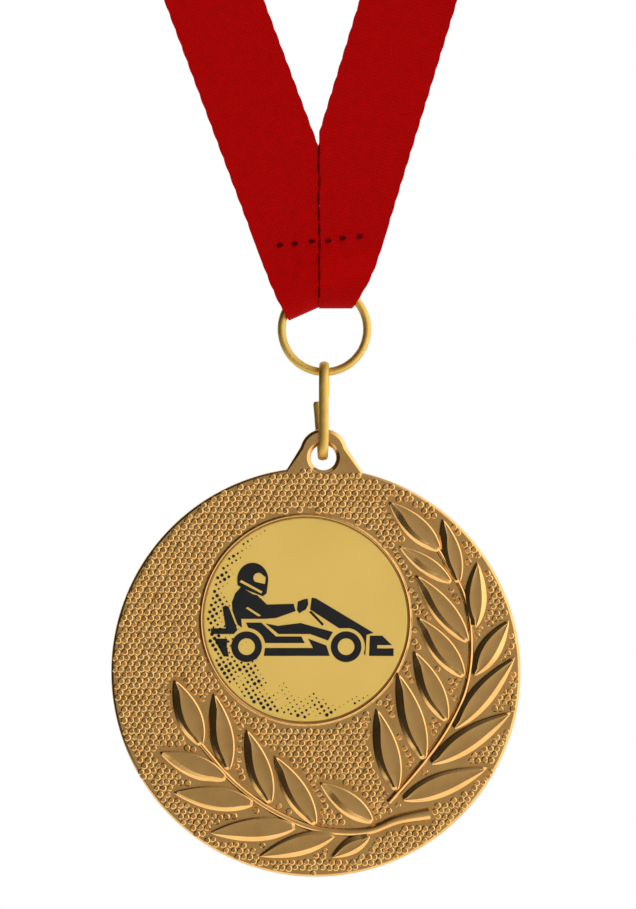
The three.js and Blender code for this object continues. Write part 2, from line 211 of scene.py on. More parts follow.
bpy.ops.mesh.primitive_circle_add(vertices=96, radius=FLOOR_R, fill_type="NGON", location=(0, 0, FLOOR_Z))
floor = bpy.context.object
floor.name = "pale_floor"
paper = bpy.data.materials.new("matt_white_paper")
paper.use_nodes = True
paper_tree = paper.node_tree
paper_shader = paper_tree.nodes["Principled BSDF"]
paper_shader.inputs["Roughness"].default_value = 0.9
fibre = add_node(paper_tree, "ShaderNodeTexNoise", {"Scale": 3, "Detail": 3})
paper_ramp = add_node(paper_tree, "ShaderNodeValToRGB", {0: fibre.outputs[0]})
set_stops(paper_ramp, [(0.3, linear("#F6F6F4")), (0.7, linear("#FAFAF8"))])
paper_tree.links.new(paper_ramp.outputs[0], paper_shader.inputs["Base Color"])
floor.data.materials.append(paper)
floor.visible_glossy = False
floor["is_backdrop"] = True

lamp_data = bpy.data.lights.new("overhead_softbox", "AREA")
lamp_data.shape = "DISK"
lamp_data.size = 4
lamp_data.energy = 110
overhead = bpy.data.objects.new("overhead_softbox", lamp_data)
overhead.location = (0.4, -0.8, 2.6)
overhead.rotation_euler = (math.radians(-12), 0, 0)
overhead.visible_glossy = False
bpy.context.scene.collection.objects.link(overhead)
print("floor at", FLOOR_Z, "m")

# %% [markdown]
# ## The finish of the casting: brass plate over zinc
# Medals like this are pressed or die-cast in zinc alloy and plated with a thin coat of brass,
# then lacquered. The plate is a full metal, a little brown, smooth on high spots and duller
# where the tumbling media didn't reach, so the colour and roughness follow the height above
# the ground. A fine bump keeps the skin of the casting from looking like glass.

# %% Cast brass plate
FIELD_Y = -1.15


def new_material(name):
    """A material with its tree and its main shader."""
    made = bpy.data.materials.new(name)
    made.use_nodes = True
    return made, made.node_tree, made.node_tree.nodes["Principled BSDF"]


cast_brass, tree, shader = new_material("cast_brass_plate")
shader.inputs["Metallic"].default_value = 1
at = add_node(tree, "ShaderNodeTexCoord").outputs["Object"]
depth = add_node(tree, "ShaderNodeSeparateXYZ", {0: at}).outputs["Y"]
high = add_node(tree, "ShaderNodeMapRange", {
    "From Min": spot(0, FIELD_Y, 0).y, "From Max": spot(0, FIELD_Y - 0.2, 0).y, "To Min": 0,
    "To Max": 1, "Value": depth,
})
mottle = add_node(tree, "ShaderNodeTexNoise", {"Scale": 450, "Detail": 4, "Vector": at})
plate_low = add_node(tree, "ShaderNodeValToRGB", {0: mottle.outputs[0]})
set_stops(plate_low, [(0.3, linear("#D2A15D")), (0.7, linear("#DEAE69"))])
plate_high = add_node(tree, "ShaderNodeValToRGB", {0: mottle.outputs[0]})
set_stops(plate_high, [(0.3, linear("#D6A560")), (0.7, linear("#E2B16C"))])
plate = add_node(tree, "ShaderNodeMix", {
    "Factor": high.outputs[0], "A": plate_low.outputs[0], "B": plate_high.outputs[0],
}, data_type="RGBA")
tree.links.new(plate.outputs["Result"], shader.inputs["Base Color"])
dull = add_node(tree, "ShaderNodeMapRange", {"To Min": 0.27, "To Max": 0.23, "Value": high.outputs[0]})
tree.links.new(dull.outputs[0], shader.inputs["Roughness"])
GRAIN_MM = 0.25
skin = add_node(tree, "ShaderNodeTexNoise", {"Scale": 1 / (GRAIN_MM * MM), "Detail": 2, "Vector": at})
skin_bump = add_node(tree, "ShaderNodeBump", {
    "Strength": 0.25, "Distance": 0.02 * MM, "Height": skin.outputs[0],
})
tree.links.new(skin_bump.outputs[0], shader.inputs["Normal"])
print("made", cast_brass.name)

# %% [markdown]
# ## Building meshes from loops
# Most pieces here are skins over closed loops of points: the plate is circles, the ear is
# outlines, the wire is ovals along a path. One function skins the loops, one makes the mesh
# object in the frame, with its faces turned outwards and its corners kept crisp.

# %% Helpers for lofted meshes
def loft(loops, ring=False):
    """Joins loops of equal length into corners and faces. A ring has no ends; others are capped."""
    count = len(loops[0])
    corners = [point for loop in loops for point in loop]
    faces = []
    for i in range(len(loops) if ring else len(loops) - 1):
        here = i * count
        there = (i + 1) % len(loops) * count
        for j in range(count):
            k = (j + 1) % count
            faces.append((here + j, here + k, there + k, there + j))
    if not ring:
        last = (len(loops) - 1) * count
        faces.append(tuple(range(count)))
        faces.append(tuple(range(last, last + count)))
    return corners, faces


def make_piece(name, parts, material, crisp=30):
    """One object from several (corners, faces) parts in millimetres; crisp is its sharp angle."""
    work = bmesh.new()
    for corners, faces in parts:
        made = [work.verts.new(spot(*corner)) for corner in corners]
        for face in faces:
            work.faces.new([made[i] for i in face])
    bmesh.ops.remove_doubles(work, verts=work.verts, dist=1e-7)
    bmesh.ops.recalc_face_normals(work, faces=work.faces)
    mesh = bpy.data.meshes.new(name)
    work.to_mesh(mesh)
    work.free()
    mesh.materials.append(material)
    mesh.shade_smooth()
    mesh.set_sharp_from_angle(angle=math.radians(crisp))
    piece = bpy.data.objects.new(name, mesh)
    bpy.context.scene.collection.objects.link(piece)
    print(name, len(mesh.polygons), "faces")
    return piece


def circle(x, z, radius, y, count=512):
    """A loop of points round (x, z), all at depth y."""
    turn = 2 * math.pi / count
    return [(x + radius * math.cos(turn * i), y, z + radius * math.sin(turn * i)) for i in range(count)]


# %% [markdown]
# ## The plate
# The disc is one turned shape, except that the recess for the printed disc sits off centre. So
# it is lofted from circles that start on the recess floor, climb its wall and lip, cross the
# ground to the rim and close on the flat back. Small radii at each corner catch the light.

# %% Plate, rim and recess
RIM_BEVEL = 0.3
EMBLEM_X = -1.25
EMBLEM_Z = 6.4
EMBLEM_R = 12.45
RECESS_R = 12.6
RECESS_FLOOR = FIELD_Y + 0.62
LIP_WIDE = 0.35
LIP_PROUD = 0.16

recess_rows = [
    (RECESS_R - 0.2, RECESS_FLOOR),
    (RECESS_R, RECESS_FLOOR),
    (RECESS_R, FIELD_Y - 0.05),
    (RECESS_R + 0.03, FIELD_Y - LIP_PROUD + 0.03),
    (RECESS_R + 0.09, FIELD_Y - LIP_PROUD),
    (RECESS_R + LIP_WIDE - 0.14, FIELD_Y - LIP_PROUD),
    (RECESS_R + LIP_WIDE - 0.05, FIELD_Y - LIP_PROUD + 0.05),
    (RECESS_R + LIP_WIDE, FIELD_Y - 0.02),
    (RECESS_R + LIP_WIDE + 0.06, FIELD_Y),
    (RECESS_R + LIP_WIDE + 0.12, FIELD_Y),
]
rim_rows = [
    (DISC_R - RIM_BEVEL - 0.06, FIELD_Y),
    (DISC_R - RIM_BEVEL, FIELD_Y),
    (DISC_R - 0.2, FIELD_Y + 0.03),
    (DISC_R - 0.09, FIELD_Y + 0.12),
    (DISC_R - 0.02, FIELD_Y + 0.26),
    (DISC_R, FIELD_Y + 0.42),
    (DISC_R, BACK_Y - 0.3),
    (DISC_R - 0.08, BACK_Y - 0.09),
    (DISC_R - 0.3, BACK_Y),
    (DISC_R - 0.36, BACK_Y),
]
EAR_X = 0.93
EAR_Z = 26.2
EAR_HOLE = 1.55


def notched(loop):
    """Pushes a loop's points out of the ear's hole, which just cuts into the rim."""
    hole = Vector((EAR_X, EAR_Z))
    points = []
    for x, y, z in loop:
        away = Vector((x, z)) - hole
        if away.length < EAR_HOLE + 0.02:
            x, z = hole + away.normalized() * (EAR_HOLE + 0.02)
        points.append((x, y, z))
    return points


plate_loops = [circle(EMBLEM_X, EMBLEM_Z, r, y) for r, y in recess_rows]
plate_loops += [notched(circle(0, 0, r, y)) for r, y in rim_rows]
plate_piece = make_piece("medal_plate", [loft(plate_loops)], cast_brass, crisp=50)

# %% [markdown]
# ## The ear
# The ear is the loop at the top that the clip goes through: a plate with a round hole, a raised
# border and a web that widens into the disc. Seen from the hole's centre the outline is met
# once in every direction, so each loop is a fraction of the way from the hole to the outline.

# %% Ear with its hole and border
EAR_R = 2.87
EAR_RISE = 0.63
EAR_WEB = [(-4.3, 23.6), (6.2, 23.6), (5.65, 24.45), (3.7, 27.5), (-1.8, 27.6), (-3.72, 24.45)]


def sharp_reach(angle):
    """Distance from the hole's centre to the ear's outline in one direction."""
    way = Vector((math.cos(angle), math.sin(angle)))
    reach = EAR_RISE * way.y + math.sqrt(EAR_R ** 2 - (EAR_RISE * way.x) ** 2)
    for i, corner in enumerate(EAR_WEB):
        start = Vector(corner) - Vector((EAR_X, EAR_Z))
        side = Vector(EAR_WEB[(i + 1) % len(EAR_WEB)]) - Vector(corner)
        across = way.x * side.y - way.y * side.x
        if abs(across) < 1e-9:
            continue
        distance = (start.x * side.y - start.y * side.x) / across
        along = (start.x * way.y - start.y * way.x) / across
        if 0 <= along <= 1 and distance > reach:
            reach = distance
    return reach


def ear_reach(angle, blend=4, samples=5):
    """The outline's distance averaged over a few degrees, so that shoulder and web run together."""
    offsets = [math.radians(blend * (2 * i / (samples - 1) - 1)) for i in range(samples)]
    return sum(sharp_reach(angle + offset) for offset in offsets) / samples


def ear_loop(inner, inset, y, count=144):
    """A loop round the hole: inner is its radius, or inset its distance in from the outline."""
    points = []
    for i in range(count):
        angle = 2 * math.pi * i / count
        radius = inner if inner else ear_reach(angle) - inset
        points.append((EAR_X + radius * math.cos(angle), y, EAR_Z + radius * math.sin(angle)))
    return points


EAR_HALF = 1.19
ear_front = [
    (EAR_HOLE, None, -EAR_HALF + 0.45),
    (EAR_HOLE + 0.04, None, -EAR_HALF + 0.29),
    (EAR_HOLE + 0.42, None, -EAR_HALF + 0.02),
    (EAR_HOLE + 0.46, None, -EAR_HALF),
    (None, 0.4, -EAR_HALF),
    (None, 0.36, -EAR_HALF + 0.02),
    (None, 0.06, -EAR_HALF + 0.22),
    (None, 0.0, -EAR_HALF + 0.35),
]
ear_loops = [ear_loop(inner, inset, y) for inner, inset, y in ear_front]
ear_loops += [ear_loop(inner, inset, -y) for inner, inset, y in reversed(ear_front)]
ear_piece = make_piece("medal_ear", [loft(ear_loops, ring=True)], cast_brass, crisp=14)

# %% [markdown]
# ## Laurel leaves
# Two sprays of leaves are raised on the ground. A die sinker cuts each leaf as a shallow
# scooped table with a sharp crest and a chamfer all round it, wider on the sides that face
# down, and that chamfer is what flashes. A leaf is lofted from cross profiles along its middle.

# %% Where the leaves grow: stem end x, z, tip x, z, greatest width
RIGHT_LEAVES = [
    (15.06, 14.89, 8.95, 20.76, 2.9),
    (17.38, 10.98, 15.43, 18.68, 2.6),
    (16.47, 10.98, 10.17, 15.38, 2.2),
    (19.34, 5.48, 19.65, 13.42, 2.8),
    (18.48, 3.77, 12.19, 11.83, 2.9),
    (19.22, -0.27, 23.5, 6.33, 2.9),
    (18.0, -0.51, 12.37, 6.7, 3.0),
    (16.83, -6.75, 24.23, 1.81, 3.0),
    (15.92, -5.89, 11.92, 2.57, 3.0),
    (14.08, -11.03, 23.74, -4.91, 3.1),
    (13.17, -10.54, 9.93, -0.1, 3.1),
    (10.66, -15.43, 20.84, -11.67, 3.1),
    (9.8, -14.33, 7.36, -4.47, 3.1),
]
LOW_LEAVES = [
    (-14.03, -8.83, -17.29, -0.95, 3.2),
    (-10.73, -11.88, -12.48, -2.59, 3.0),
    (-10.98, -12.98, -19.01, -9.8, 2.9),
    (-5.6, -15.92, -8.53, -6.99, 3.0),
    (-7.68, -16.04, -17.29, -14.69, 3.0),
    (-0.1, -18.55, -5.11, -10.22, 3.0),
    (-2.54, -18.85, -12.81, -19.58, 3.0),
    (6.87, -18.24, 0.51, -13.47, 2.8),
    (2.22, -19.83, -6.82, -22.4, 2.8),
    (6.5, -19.95, 1.86, -22.57, 2.2),
]

# %% One leaf
TABLE_HIGH = 0.62
BURIED = 0.3
FACET_SLOPE = math.tan(math.radians(15))
BAND_SLOPE = math.tan(math.radians(32))
WALL = 0.04
SCOOP = 0.02
TABLE_PARTS = 4


def side_widths(facing, t):
    """Widths of a side's outer band and of the gentle facet inside it, t of the way to the tip."""
    if facing.y > 0:
        band = 0.15
        facet_share = 1 - 0.7 * t
    elif facing.x < 0:
        band = 0.12 + 0.42 * (1 - t)
        facet_share = min(1, 0.3 + t)
    else:
        band = 0.14 + 0.45 * math.sin(math.pi * t) ** 0.6
        facet_share = 0
    facet = 0.75 * min(max(-facing.x / 0.5, 0), 1) * facet_share
    return band, facet


def leaf(base_x, base_z, tip_x, tip_z, wide, steps=28):
    """Corners and faces of one leaf, from its stem end to its tip."""
    base = Vector((base_x, base_z))
    run = Vector((tip_x, tip_z)) - base
    across = Vector((run.y, -run.x)).normalized()
    loops = []
    for i in range(steps + 1):
        t = i / steps
        swell = math.sin(math.pi * min(0.03 + 0.955 * t, 1) ** 0.85) ** 0.8
        half = max(wide / 2 * swell, 0.05)
        middle = base + run * t
        high = TABLE_HIGH * min(1, 0.9 + 4 * t, 0.6 + 12 * (1 - t))
        sides = []
        for sign in (-1, 1):
            band, facet = side_widths(across * sign, t)
            facet = min(facet, 0.8 * half)
            band = min(band, 0.45 * half)
            shoulder = max(high - facet * FACET_SLOPE, 0.5 * high)
            foot = max(shoulder - band * BAND_SLOPE, 0.25 * high)
            sides.append((band, facet, shoulder, foot))
        (band, facet, shoulder, foot), (far_band, far_facet, far_shoulder, far_foot) = sides
        start = -half + WALL + band + facet
        stop = half - WALL - far_band - far_facet
        if start > stop:
            start = stop = (start + stop) / 2
        profile = [(-half, -BURIED), (-half, 0.0)]
        profile += [(-half + WALL, foot), (-half + WALL + band, shoulder)]
        for k in range(TABLE_PARTS + 1):
            share = k / TABLE_PARTS
            profile.append((start + (stop - start) * share, high - SCOOP * math.sin(math.pi * share)))
        profile += [(half - WALL - far_band, far_shoulder), (half - WALL, far_foot)]
        profile += [(half, 0.0), (half, -BURIED)]
        loop = []
        for offset, height in profile:
            place = middle + across * offset
            loop.append((place.x, FIELD_Y - height, place.y))
        loops.append(loop)
    return loft(loops)


all_leaves = [leaf(*row) for row in RIGHT_LEAVES + LOW_LEAVES]
leaves_piece = make_piece("laurel_leaves", all_leaves, cast_brass, crisp=8)

# %% [markdown]
# ## Stems
# Each spray's stem is a rounded bar along a smooth curve through a few points. The same smooth path is used
# later for the wire clip.

# %% A smooth path and a bar along it
def smooth_path(points, steps):
    """Points along a centripetal Catmull-Rom curve, with steps intervals in each span."""
    knots = [Vector(p) for p in points]
    knots = [2 * knots[0] - knots[1], *knots, 2 * knots[-1] - knots[-2]]
    path = []
    for i in range(1, len(knots) - 2):
        a, b, c, d = knots[i - 1:i + 3]
        t1 = (b - a).length ** 0.5
        t2 = t1 + (c - b).length ** 0.5
        t3 = t2 + (d - c).length ** 0.5
        for step in range(steps):
            t = t1 + (t2 - t1) * step / steps
            ab = a.lerp(b, t / t1)
            bc = b.lerp(c, (t - t1) / (t2 - t1))
            cd = c.lerp(d, (t - t2) / (t3 - t2))
            abc = ab.lerp(bc, t / t2)
            bcd = bc.lerp(cd, (t - t1) / (t3 - t1))
            path.append(abc.lerp(bcd, (t - t1) / (t2 - t1)))
    path.append(knots[-2])
    return path


def sweep(path, across, half_wide, half_thick, sides=20):
    """An oval bar along a path. across is the direction its width keeps as near as it can."""
    loops = []
    for i, middle in enumerate(path):
        ahead = path[min(i + 1, len(path) - 1)] - path[max(i - 1, 0)]
        ahead.normalize()
        wide = (across - ahead * across.dot(ahead)).normalized()
        thick = ahead.cross(wide)
        share = i / (len(path) - 1)
        loop = []
        for j in range(sides):
            angle = 2 * math.pi * j / sides
            loop.append(
                middle
                + wide * half_wide(share) * math.cos(angle)
                + thick * half_thick(share) * math.sin(angle)
            )
        loops.append(loop)
    return loft(loops)


# %% The two stems
RIGHT_STEM = [
    (8.9, -15.9), (13.2, -10.9), (16.3, -6.4), (18.35, -1.8), (18.95, 3.9), (18.0, 9.6), (14.9, 15),
]
LOW_STEM = [
    (-14.1, -8.7), (-9.9, -13.5), (-4.9, -17.1), (0.4, -19.2), (6.2, -19.4), (10, -18), (13.9, -17.25),
]
STEM_Y = FIELD_Y - 0.08
right_path = smooth_path([(x, STEM_Y, z) for x, z in RIGHT_STEM], 12)
low_path = smooth_path([(x, STEM_Y, z) for x, z in LOW_STEM], 12)
IN_PLANE = Vector((0, 1, 0))
right_stem = sweep(right_path, IN_PLANE, lambda t: 0.42, lambda t: 0.4 - 0.1 * t)
low_stem = sweep(low_path, IN_PLANE, lambda t: 0.42, lambda t: 0.36 + 0.4 * t * t)
stems_piece = make_piece("laurel_stems", [right_stem, low_stem], cast_brass, crisp=60)

# %% [markdown]
# ## The pebbled field
# The ground between the sprays is punched with rows of small round beads, about 0.8 mm apart
# and never quite in line. Punching them by hand would take days, so a Geometry Nodes tree lays
# a grid of points, shifts every other row, nudges each point, removes those under the leaves,
# the recess and the rim, and sets a bead on each that is left.

# %% One bead: a closed dome of a few dozen faces
BEAD_SIDES = 12
BEAD_FOOT = (1.0, -1.5)
BEAD_RINGS = [(0.98, 0.5), (0.68, 1.0)]


def bead_mesh():
    """A dome of unit radius that points forwards, with its foot closed below the ground."""
    work = bmesh.new()
    loops = []
    for radius, height in [BEAD_FOOT, *BEAD_RINGS]:
        turn = 2 * math.pi / BEAD_SIDES
        loops.append([
            work.verts.new((radius * math.cos(turn * i), -height, radius * math.sin(turn * i)))
            for i in range(BEAD_SIDES)
        ])
    for lower, upper in zip(loops, loops[1:]):
        for i in range(BEAD_SIDES):
            k = (i + 1) % BEAD_SIDES
            work.faces.new((lower[i], lower[k], upper[k], upper[i]))
    work.faces.new(loops[-1])
    work.faces.new(loops[0])
    bmesh.ops.recalc_face_normals(work, faces=work.faces)
    mesh = bpy.data.meshes.new("bead")
    work.to_mesh(mesh)
    work.free()
    return mesh


bead = bpy.data.objects.new("bead_pattern", bead_mesh())
bpy.context.scene.collection.objects.link(bead)

# %% The bead field as a Geometry Nodes tree
def new_tree(name, sockets):
    """A Geometry Nodes tree with its named inputs. Returns it and its input node."""
    made = bpy.data.node_groups.new(name, "GeometryNodeTree")
    made.interface.new_socket("Geometry", in_out="OUTPUT", socket_type="NodeSocketGeometry")
    made.interface.new_socket("Geometry", in_out="INPUT", socket_type="NodeSocketGeometry")
    for label, kind in sockets:
        made.interface.new_socket(label, in_out="INPUT", socket_type="NodeSocket" + kind)
    return made, made.nodes.new("NodeGroupInput").outputs


field, given = new_tree("bead_field", [
    ("Disc Radius", "Float"), ("Pitch", "Float"), ("Jitter", "Float"), ("Bead Radius", "Float"),
    ("Bead Height", "Float"), ("Ground", "Vector"), ("Emblem Centre", "Vector"), ("Emblem Radius", "Float"),
    ("Hole Centre", "Vector"), ("Hole Radius", "Float"),
    ("Clearance", "Float"), ("Seed", "Int"), ("Bead", "Object"), ("Leaves", "Object"), ("Stems", "Object"),
    ("Finish", "Material"),
])
ROW_HIGH = math.sqrt(0.75)
width = add_node(field, "ShaderNodeMath", {0: given["Disc Radius"], 1: 2}, operation="MULTIPLY").outputs[0]
pitches_across = add_node(field, "ShaderNodeMath", {
    0: width, 1: given["Pitch"],
}, operation="DIVIDE").outputs[0]
columns = add_node(field, "ShaderNodeMath", {0: pitches_across}, operation="CEIL").outputs[0]
pitches_up = add_node(field, "ShaderNodeMath", {0: columns, 1: ROW_HIGH}, operation="DIVIDE").outputs[0]
rows = add_node(field, "ShaderNodeMath", {0: pitches_up}, operation="CEIL").outputs[0]
grid = add_node(field, "GeometryNodeMeshGrid", {
    "Size X": width, "Size Y": width, "Vertices X": columns, "Vertices Y": rows,
})
grid_at = add_node(field, "GeometryNodeInputPosition").outputs[0]
flat_at = add_node(field, "ShaderNodeSeparateXYZ", {0: grid_at})
row_gaps = add_node(field, "ShaderNodeMath", {0: rows, 1: 1}, operation="SUBTRACT").outputs[0]
row_step = add_node(field, "ShaderNodeMath", {0: width, 1: row_gaps}, operation="DIVIDE").outputs[0]
above_foot = add_node(field, "ShaderNodeMath", {
    0: flat_at.outputs["Y"], 1: given["Disc Radius"],
}, operation="ADD").outputs[0]
steps_up = add_node(field, "ShaderNodeMath", {0: above_foot, 1: row_step}, operation="DIVIDE").outputs[0]
row = add_node(field, "ShaderNodeMath", {0: steps_up}, operation="ROUND").outputs[0]
odd_row = add_node(field, "ShaderNodeMath", {0: row, 1: 2}, operation="MODULO").outputs[0]
half_pitch = add_node(field, "ShaderNodeMath", {0: given["Pitch"], 1: 0.5}, operation="MULTIPLY").outputs[0]
shift = add_node(field, "ShaderNodeMath", {0: odd_row, 1: half_pitch}, operation="MULTIPLY").outputs[0]
nudge_max = add_node(field, "ShaderNodeCombineXYZ", {"X": given["Jitter"], "Z": given["Jitter"]})
nudge_min = add_node(field, "ShaderNodeVectorMath", {
    0: nudge_max.outputs[0], "Scale": -1,
}, operation="SCALE")
nudge = add_node(field, "FunctionNodeRandomValue", {
    "Min": nudge_min.outputs[0], "Max": nudge_max.outputs[0], "Seed": given["Seed"],
}, data_type="FLOAT_VECTOR")
shifted = add_node(field, "ShaderNodeMath", {0: flat_at.outputs["X"], 1: shift}, operation="ADD").outputs[0]
upright = add_node(field, "ShaderNodeCombineXYZ", {"X": shifted, "Z": flat_at.outputs["Y"]})
nudged = add_node(field, "ShaderNodeVectorMath", {
    0: upright.outputs[0], 1: nudge.outputs["Value"],
}, operation="ADD")
on_ground = add_node(field, "ShaderNodeVectorMath", {
    0: nudged.outputs[0], 1: given["Ground"],
}, operation="ADD")
laid = add_node(field, "GeometryNodeSetPosition", {
    "Geometry": grid.outputs["Mesh"], "Position": on_ground.outputs[0],
})

# %% Which points stay: inside the rim, outside the recess and clear of the sprays
here = add_node(field, "GeometryNodeInputPosition").outputs[0]
from_disc = add_node(field, "ShaderNodeVectorMath", {0: here, 1: given["Ground"]}, operation="DISTANCE")
from_emblem = add_node(field, "ShaderNodeVectorMath", {
    0: here, 1: given["Emblem Centre"],
}, operation="DISTANCE")
past_rim = add_node(field, "ShaderNodeMath", {
    0: from_disc.outputs["Value"], 1: given["Disc Radius"],
}, operation="GREATER_THAN").outputs[0]
in_recess = add_node(field, "ShaderNodeMath", {
    0: from_emblem.outputs["Value"], 1: given["Emblem Radius"],
}, operation="LESS_THAN").outputs[0]
from_hole = add_node(field, "ShaderNodeVectorMath", {0: here, 1: given["Hole Centre"]}, operation="DISTANCE")
in_hole = add_node(field, "ShaderNodeMath", {
    0: from_hole.outputs["Value"], 1: given["Hole Radius"],
}, operation="LESS_THAN").outputs[0]
off_ground = add_node(field, "ShaderNodeMath", {0: past_rim, 1: in_recess}, operation="MAXIMUM").outputs[0]
unwanted = add_node(field, "ShaderNodeMath", {0: off_ground, 1: in_hole}, operation="MAXIMUM").outputs[0]
ground_y = add_node(field, "ShaderNodeSeparateXYZ", {0: given["Ground"]}).outputs["Y"]
for spray in ("Leaves", "Stems"):
    source = add_node(field, "GeometryNodeObjectInfo", {"Object": given[spray]}).outputs["Geometry"]
    spray_at = add_node(field, "GeometryNodeInputPosition").outputs[0]
    raised = add_node(field, "ShaderNodeSeparateXYZ", {0: spray_at})
    pressed = add_node(field, "ShaderNodeCombineXYZ", {
        "X": raised.outputs["X"], "Y": ground_y, "Z": raised.outputs["Z"],
    })
    footprint = add_node(field, "GeometryNodeSetPosition", {
        "Geometry": source, "Position": pressed.outputs[0],
    })
    near = add_node(field, "GeometryNodeProximity", {0: footprint.outputs[0]}, target_element="FACES")
    under = add_node(field, "ShaderNodeMath", {
        0: near.outputs["Distance"], 1: given["Clearance"],
    }, operation="LESS_THAN").outputs[0]
    unwanted = add_node(field, "ShaderNodeMath", {0: unwanted, 1: under}, operation="MAXIMUM").outputs[0]
kept = add_node(field, "GeometryNodeDeleteGeometry", {
    "Geometry": laid.outputs[0], "Selection": unwanted,
}, domain="POINT")

# %% A bead on each point, then one plain mesh
dots = add_node(field, "GeometryNodeMeshToPoints", {"Mesh": kept.outputs[0]})
size = add_node(field, "FunctionNodeRandomValue", {
    "Min": 0.86, "Max": 1.1, "Seed": given["Seed"],
}, data_type="FLOAT")
bead_wide = add_node(field, "ShaderNodeMath", {
    0: given["Bead Radius"], 1: size.outputs["Value"],
}, operation="MULTIPLY").outputs[0]
bead_high = add_node(field, "ShaderNodeMath", {
    0: given["Bead Height"], 1: size.outputs["Value"],
}, operation="MULTIPLY").outputs[0]
bead_scale = add_node(field, "ShaderNodeCombineXYZ", {"X": bead_wide, "Y": bead_high, "Z": bead_wide})
one_bead = add_node(field, "GeometryNodeObjectInfo", {"Object": given["Bead"]})
TIP = 0.05
lean = add_node(field, "FunctionNodeRandomValue", {
    "Min": (-TIP, -1, -TIP), "Max": (TIP, 1, TIP), "Seed": given["Seed"],
}, data_type="FLOAT_VECTOR")
beads = add_node(field, "GeometryNodeInstanceOnPoints", {
    "Points": dots.outputs[0], "Instance": one_bead.outputs["Geometry"], "Scale": bead_scale.outputs[0],
    "Rotation": lean.outputs["Value"],
})
real = add_node(field, "GeometryNodeRealizeInstances", {"Geometry": beads.outputs[0]})
dressed = add_node(field, "GeometryNodeSetMaterial", {
    "Geometry": real.outputs[0], "Material": given["Finish"],
})
add_node(field, "NodeGroupOutput", {"Geometry": dressed.outputs[0]})


# %% Run a tree and keep its plain mesh
def grow(name, tree, inputs, start=None):
    """Runs a Geometry Nodes tree on a carrier and returns the result as a plain mesh object."""
    carrier = bpy.data.objects.new(name + "_carrier", start or bpy.data.meshes.new(name + "_carrier"))
    bpy.context.scene.collection.objects.link(carrier)
    modifier = carrier.modifiers.new("grow", "NODES")
    modifier.node_group = tree
    for item in tree.interface.items_tree:
        if item.in_out == "INPUT" and item.name in inputs:
            modifier[item.identifier] = inputs[item.name]
    graph = bpy.context.evaluated_depsgraph_get()
    mesh = bpy.data.meshes.new_from_object(carrier.evaluated_get(graph))
    mesh.name = name
    piece = bpy.data.objects.new(name, mesh)
    bpy.context.scene.collection.objects.link(piece)
    carrier.modifiers.clear()
    bpy.data.objects.remove(carrier)
    print(name, len(mesh.polygons), "faces")
    return piece


beads_piece = grow("pebbled_field", field, {
    "Disc Radius": (DISC_R - 0.42) * MM, "Pitch": 0.8 * MM, "Jitter": 0.1 * MM,
    "Bead Radius": 0.4 * MM, "Bead Height": 0.17 * MM, "Ground": spot(0, FIELD_Y, 0),
    "Emblem Centre": spot(EMBLEM_X, FIELD_Y, EMBLEM_Z), "Emblem Radius": (RECESS_R + LIP_WIDE + 0.42) * MM,
    "Hole Centre": spot(EAR_X, FIELD_Y, EAR_Z), "Hole Radius": (EAR_HOLE + 0.5) * MM,
    "Clearance": 0.45 * MM, "Seed": 7, "Bead": bead, "Leaves": leaves_piece, "Stems": stems_piece,
    "Finish": cast_brass,
})
bpy.data.objects.remove(bead)

# %% [markdown]
# ## The printed disc
# The insert is a stamped aluminium disc with a satin gold lacquer, screen-printed in black and
# glued into the recess. The coloured lacquer scatters much of the light, so the foil is only
# partly a metal, with a faint cloud in its sheen. The ink is a thin opaque film on the lacquer.

# %% Satin gold foil and black ink
foil, tree, shader = new_material("satin_gold_foil")
shader.inputs["Metallic"].default_value = 0.4
at = add_node(tree, "ShaderNodeTexCoord").outputs["Object"]
cloud = add_node(tree, "ShaderNodeTexNoise", {"Scale": 130, "Detail": 3, "Vector": at})
foil_ramp = add_node(tree, "ShaderNodeValToRGB", {0: cloud.outputs[0]})
set_stops(foil_ramp, [(0.3, linear("#E1BB5C")), (0.7, linear("#E5C062"))])
tree.links.new(foil_ramp.outputs[0], shader.inputs["Base Color"])
sheen = add_node(tree, "ShaderNodeMapRange", {"To Min": 0.48, "To Max": 0.56, "Value": cloud.outputs[0]})
tree.links.new(sheen.outputs[0], shader.inputs["Roughness"])
brush = add_node(tree, "ShaderNodeTexNoise", {"Scale": 9000, "Detail": 1, "Vector": at})
brush_bump = add_node(tree, "ShaderNodeBump", {
    "Strength": 0.1, "Distance": 0.005 * MM, "Height": brush.outputs[0],
})
tree.links.new(brush_bump.outputs[0], shader.inputs["Normal"])

ink, tree, shader = new_material("screen_printed_ink")
at = add_node(tree, "ShaderNodeTexCoord").outputs["Object"]
film = add_node(tree, "ShaderNodeTexNoise", {"Scale": 900, "Detail": 3, "Vector": at})
ink_ramp = add_node(tree, "ShaderNodeValToRGB", {0: film.outputs[0]})
set_stops(ink_ramp, [(0.3, linear("#0B0B0D")), (0.7, linear("#131213"))])
tree.links.new(ink_ramp.outputs[0], shader.inputs["Base Color"])
shader.inputs["Roughness"].default_value = 0.55
shader.inputs["Specular IOR Level"].default_value = 0.3

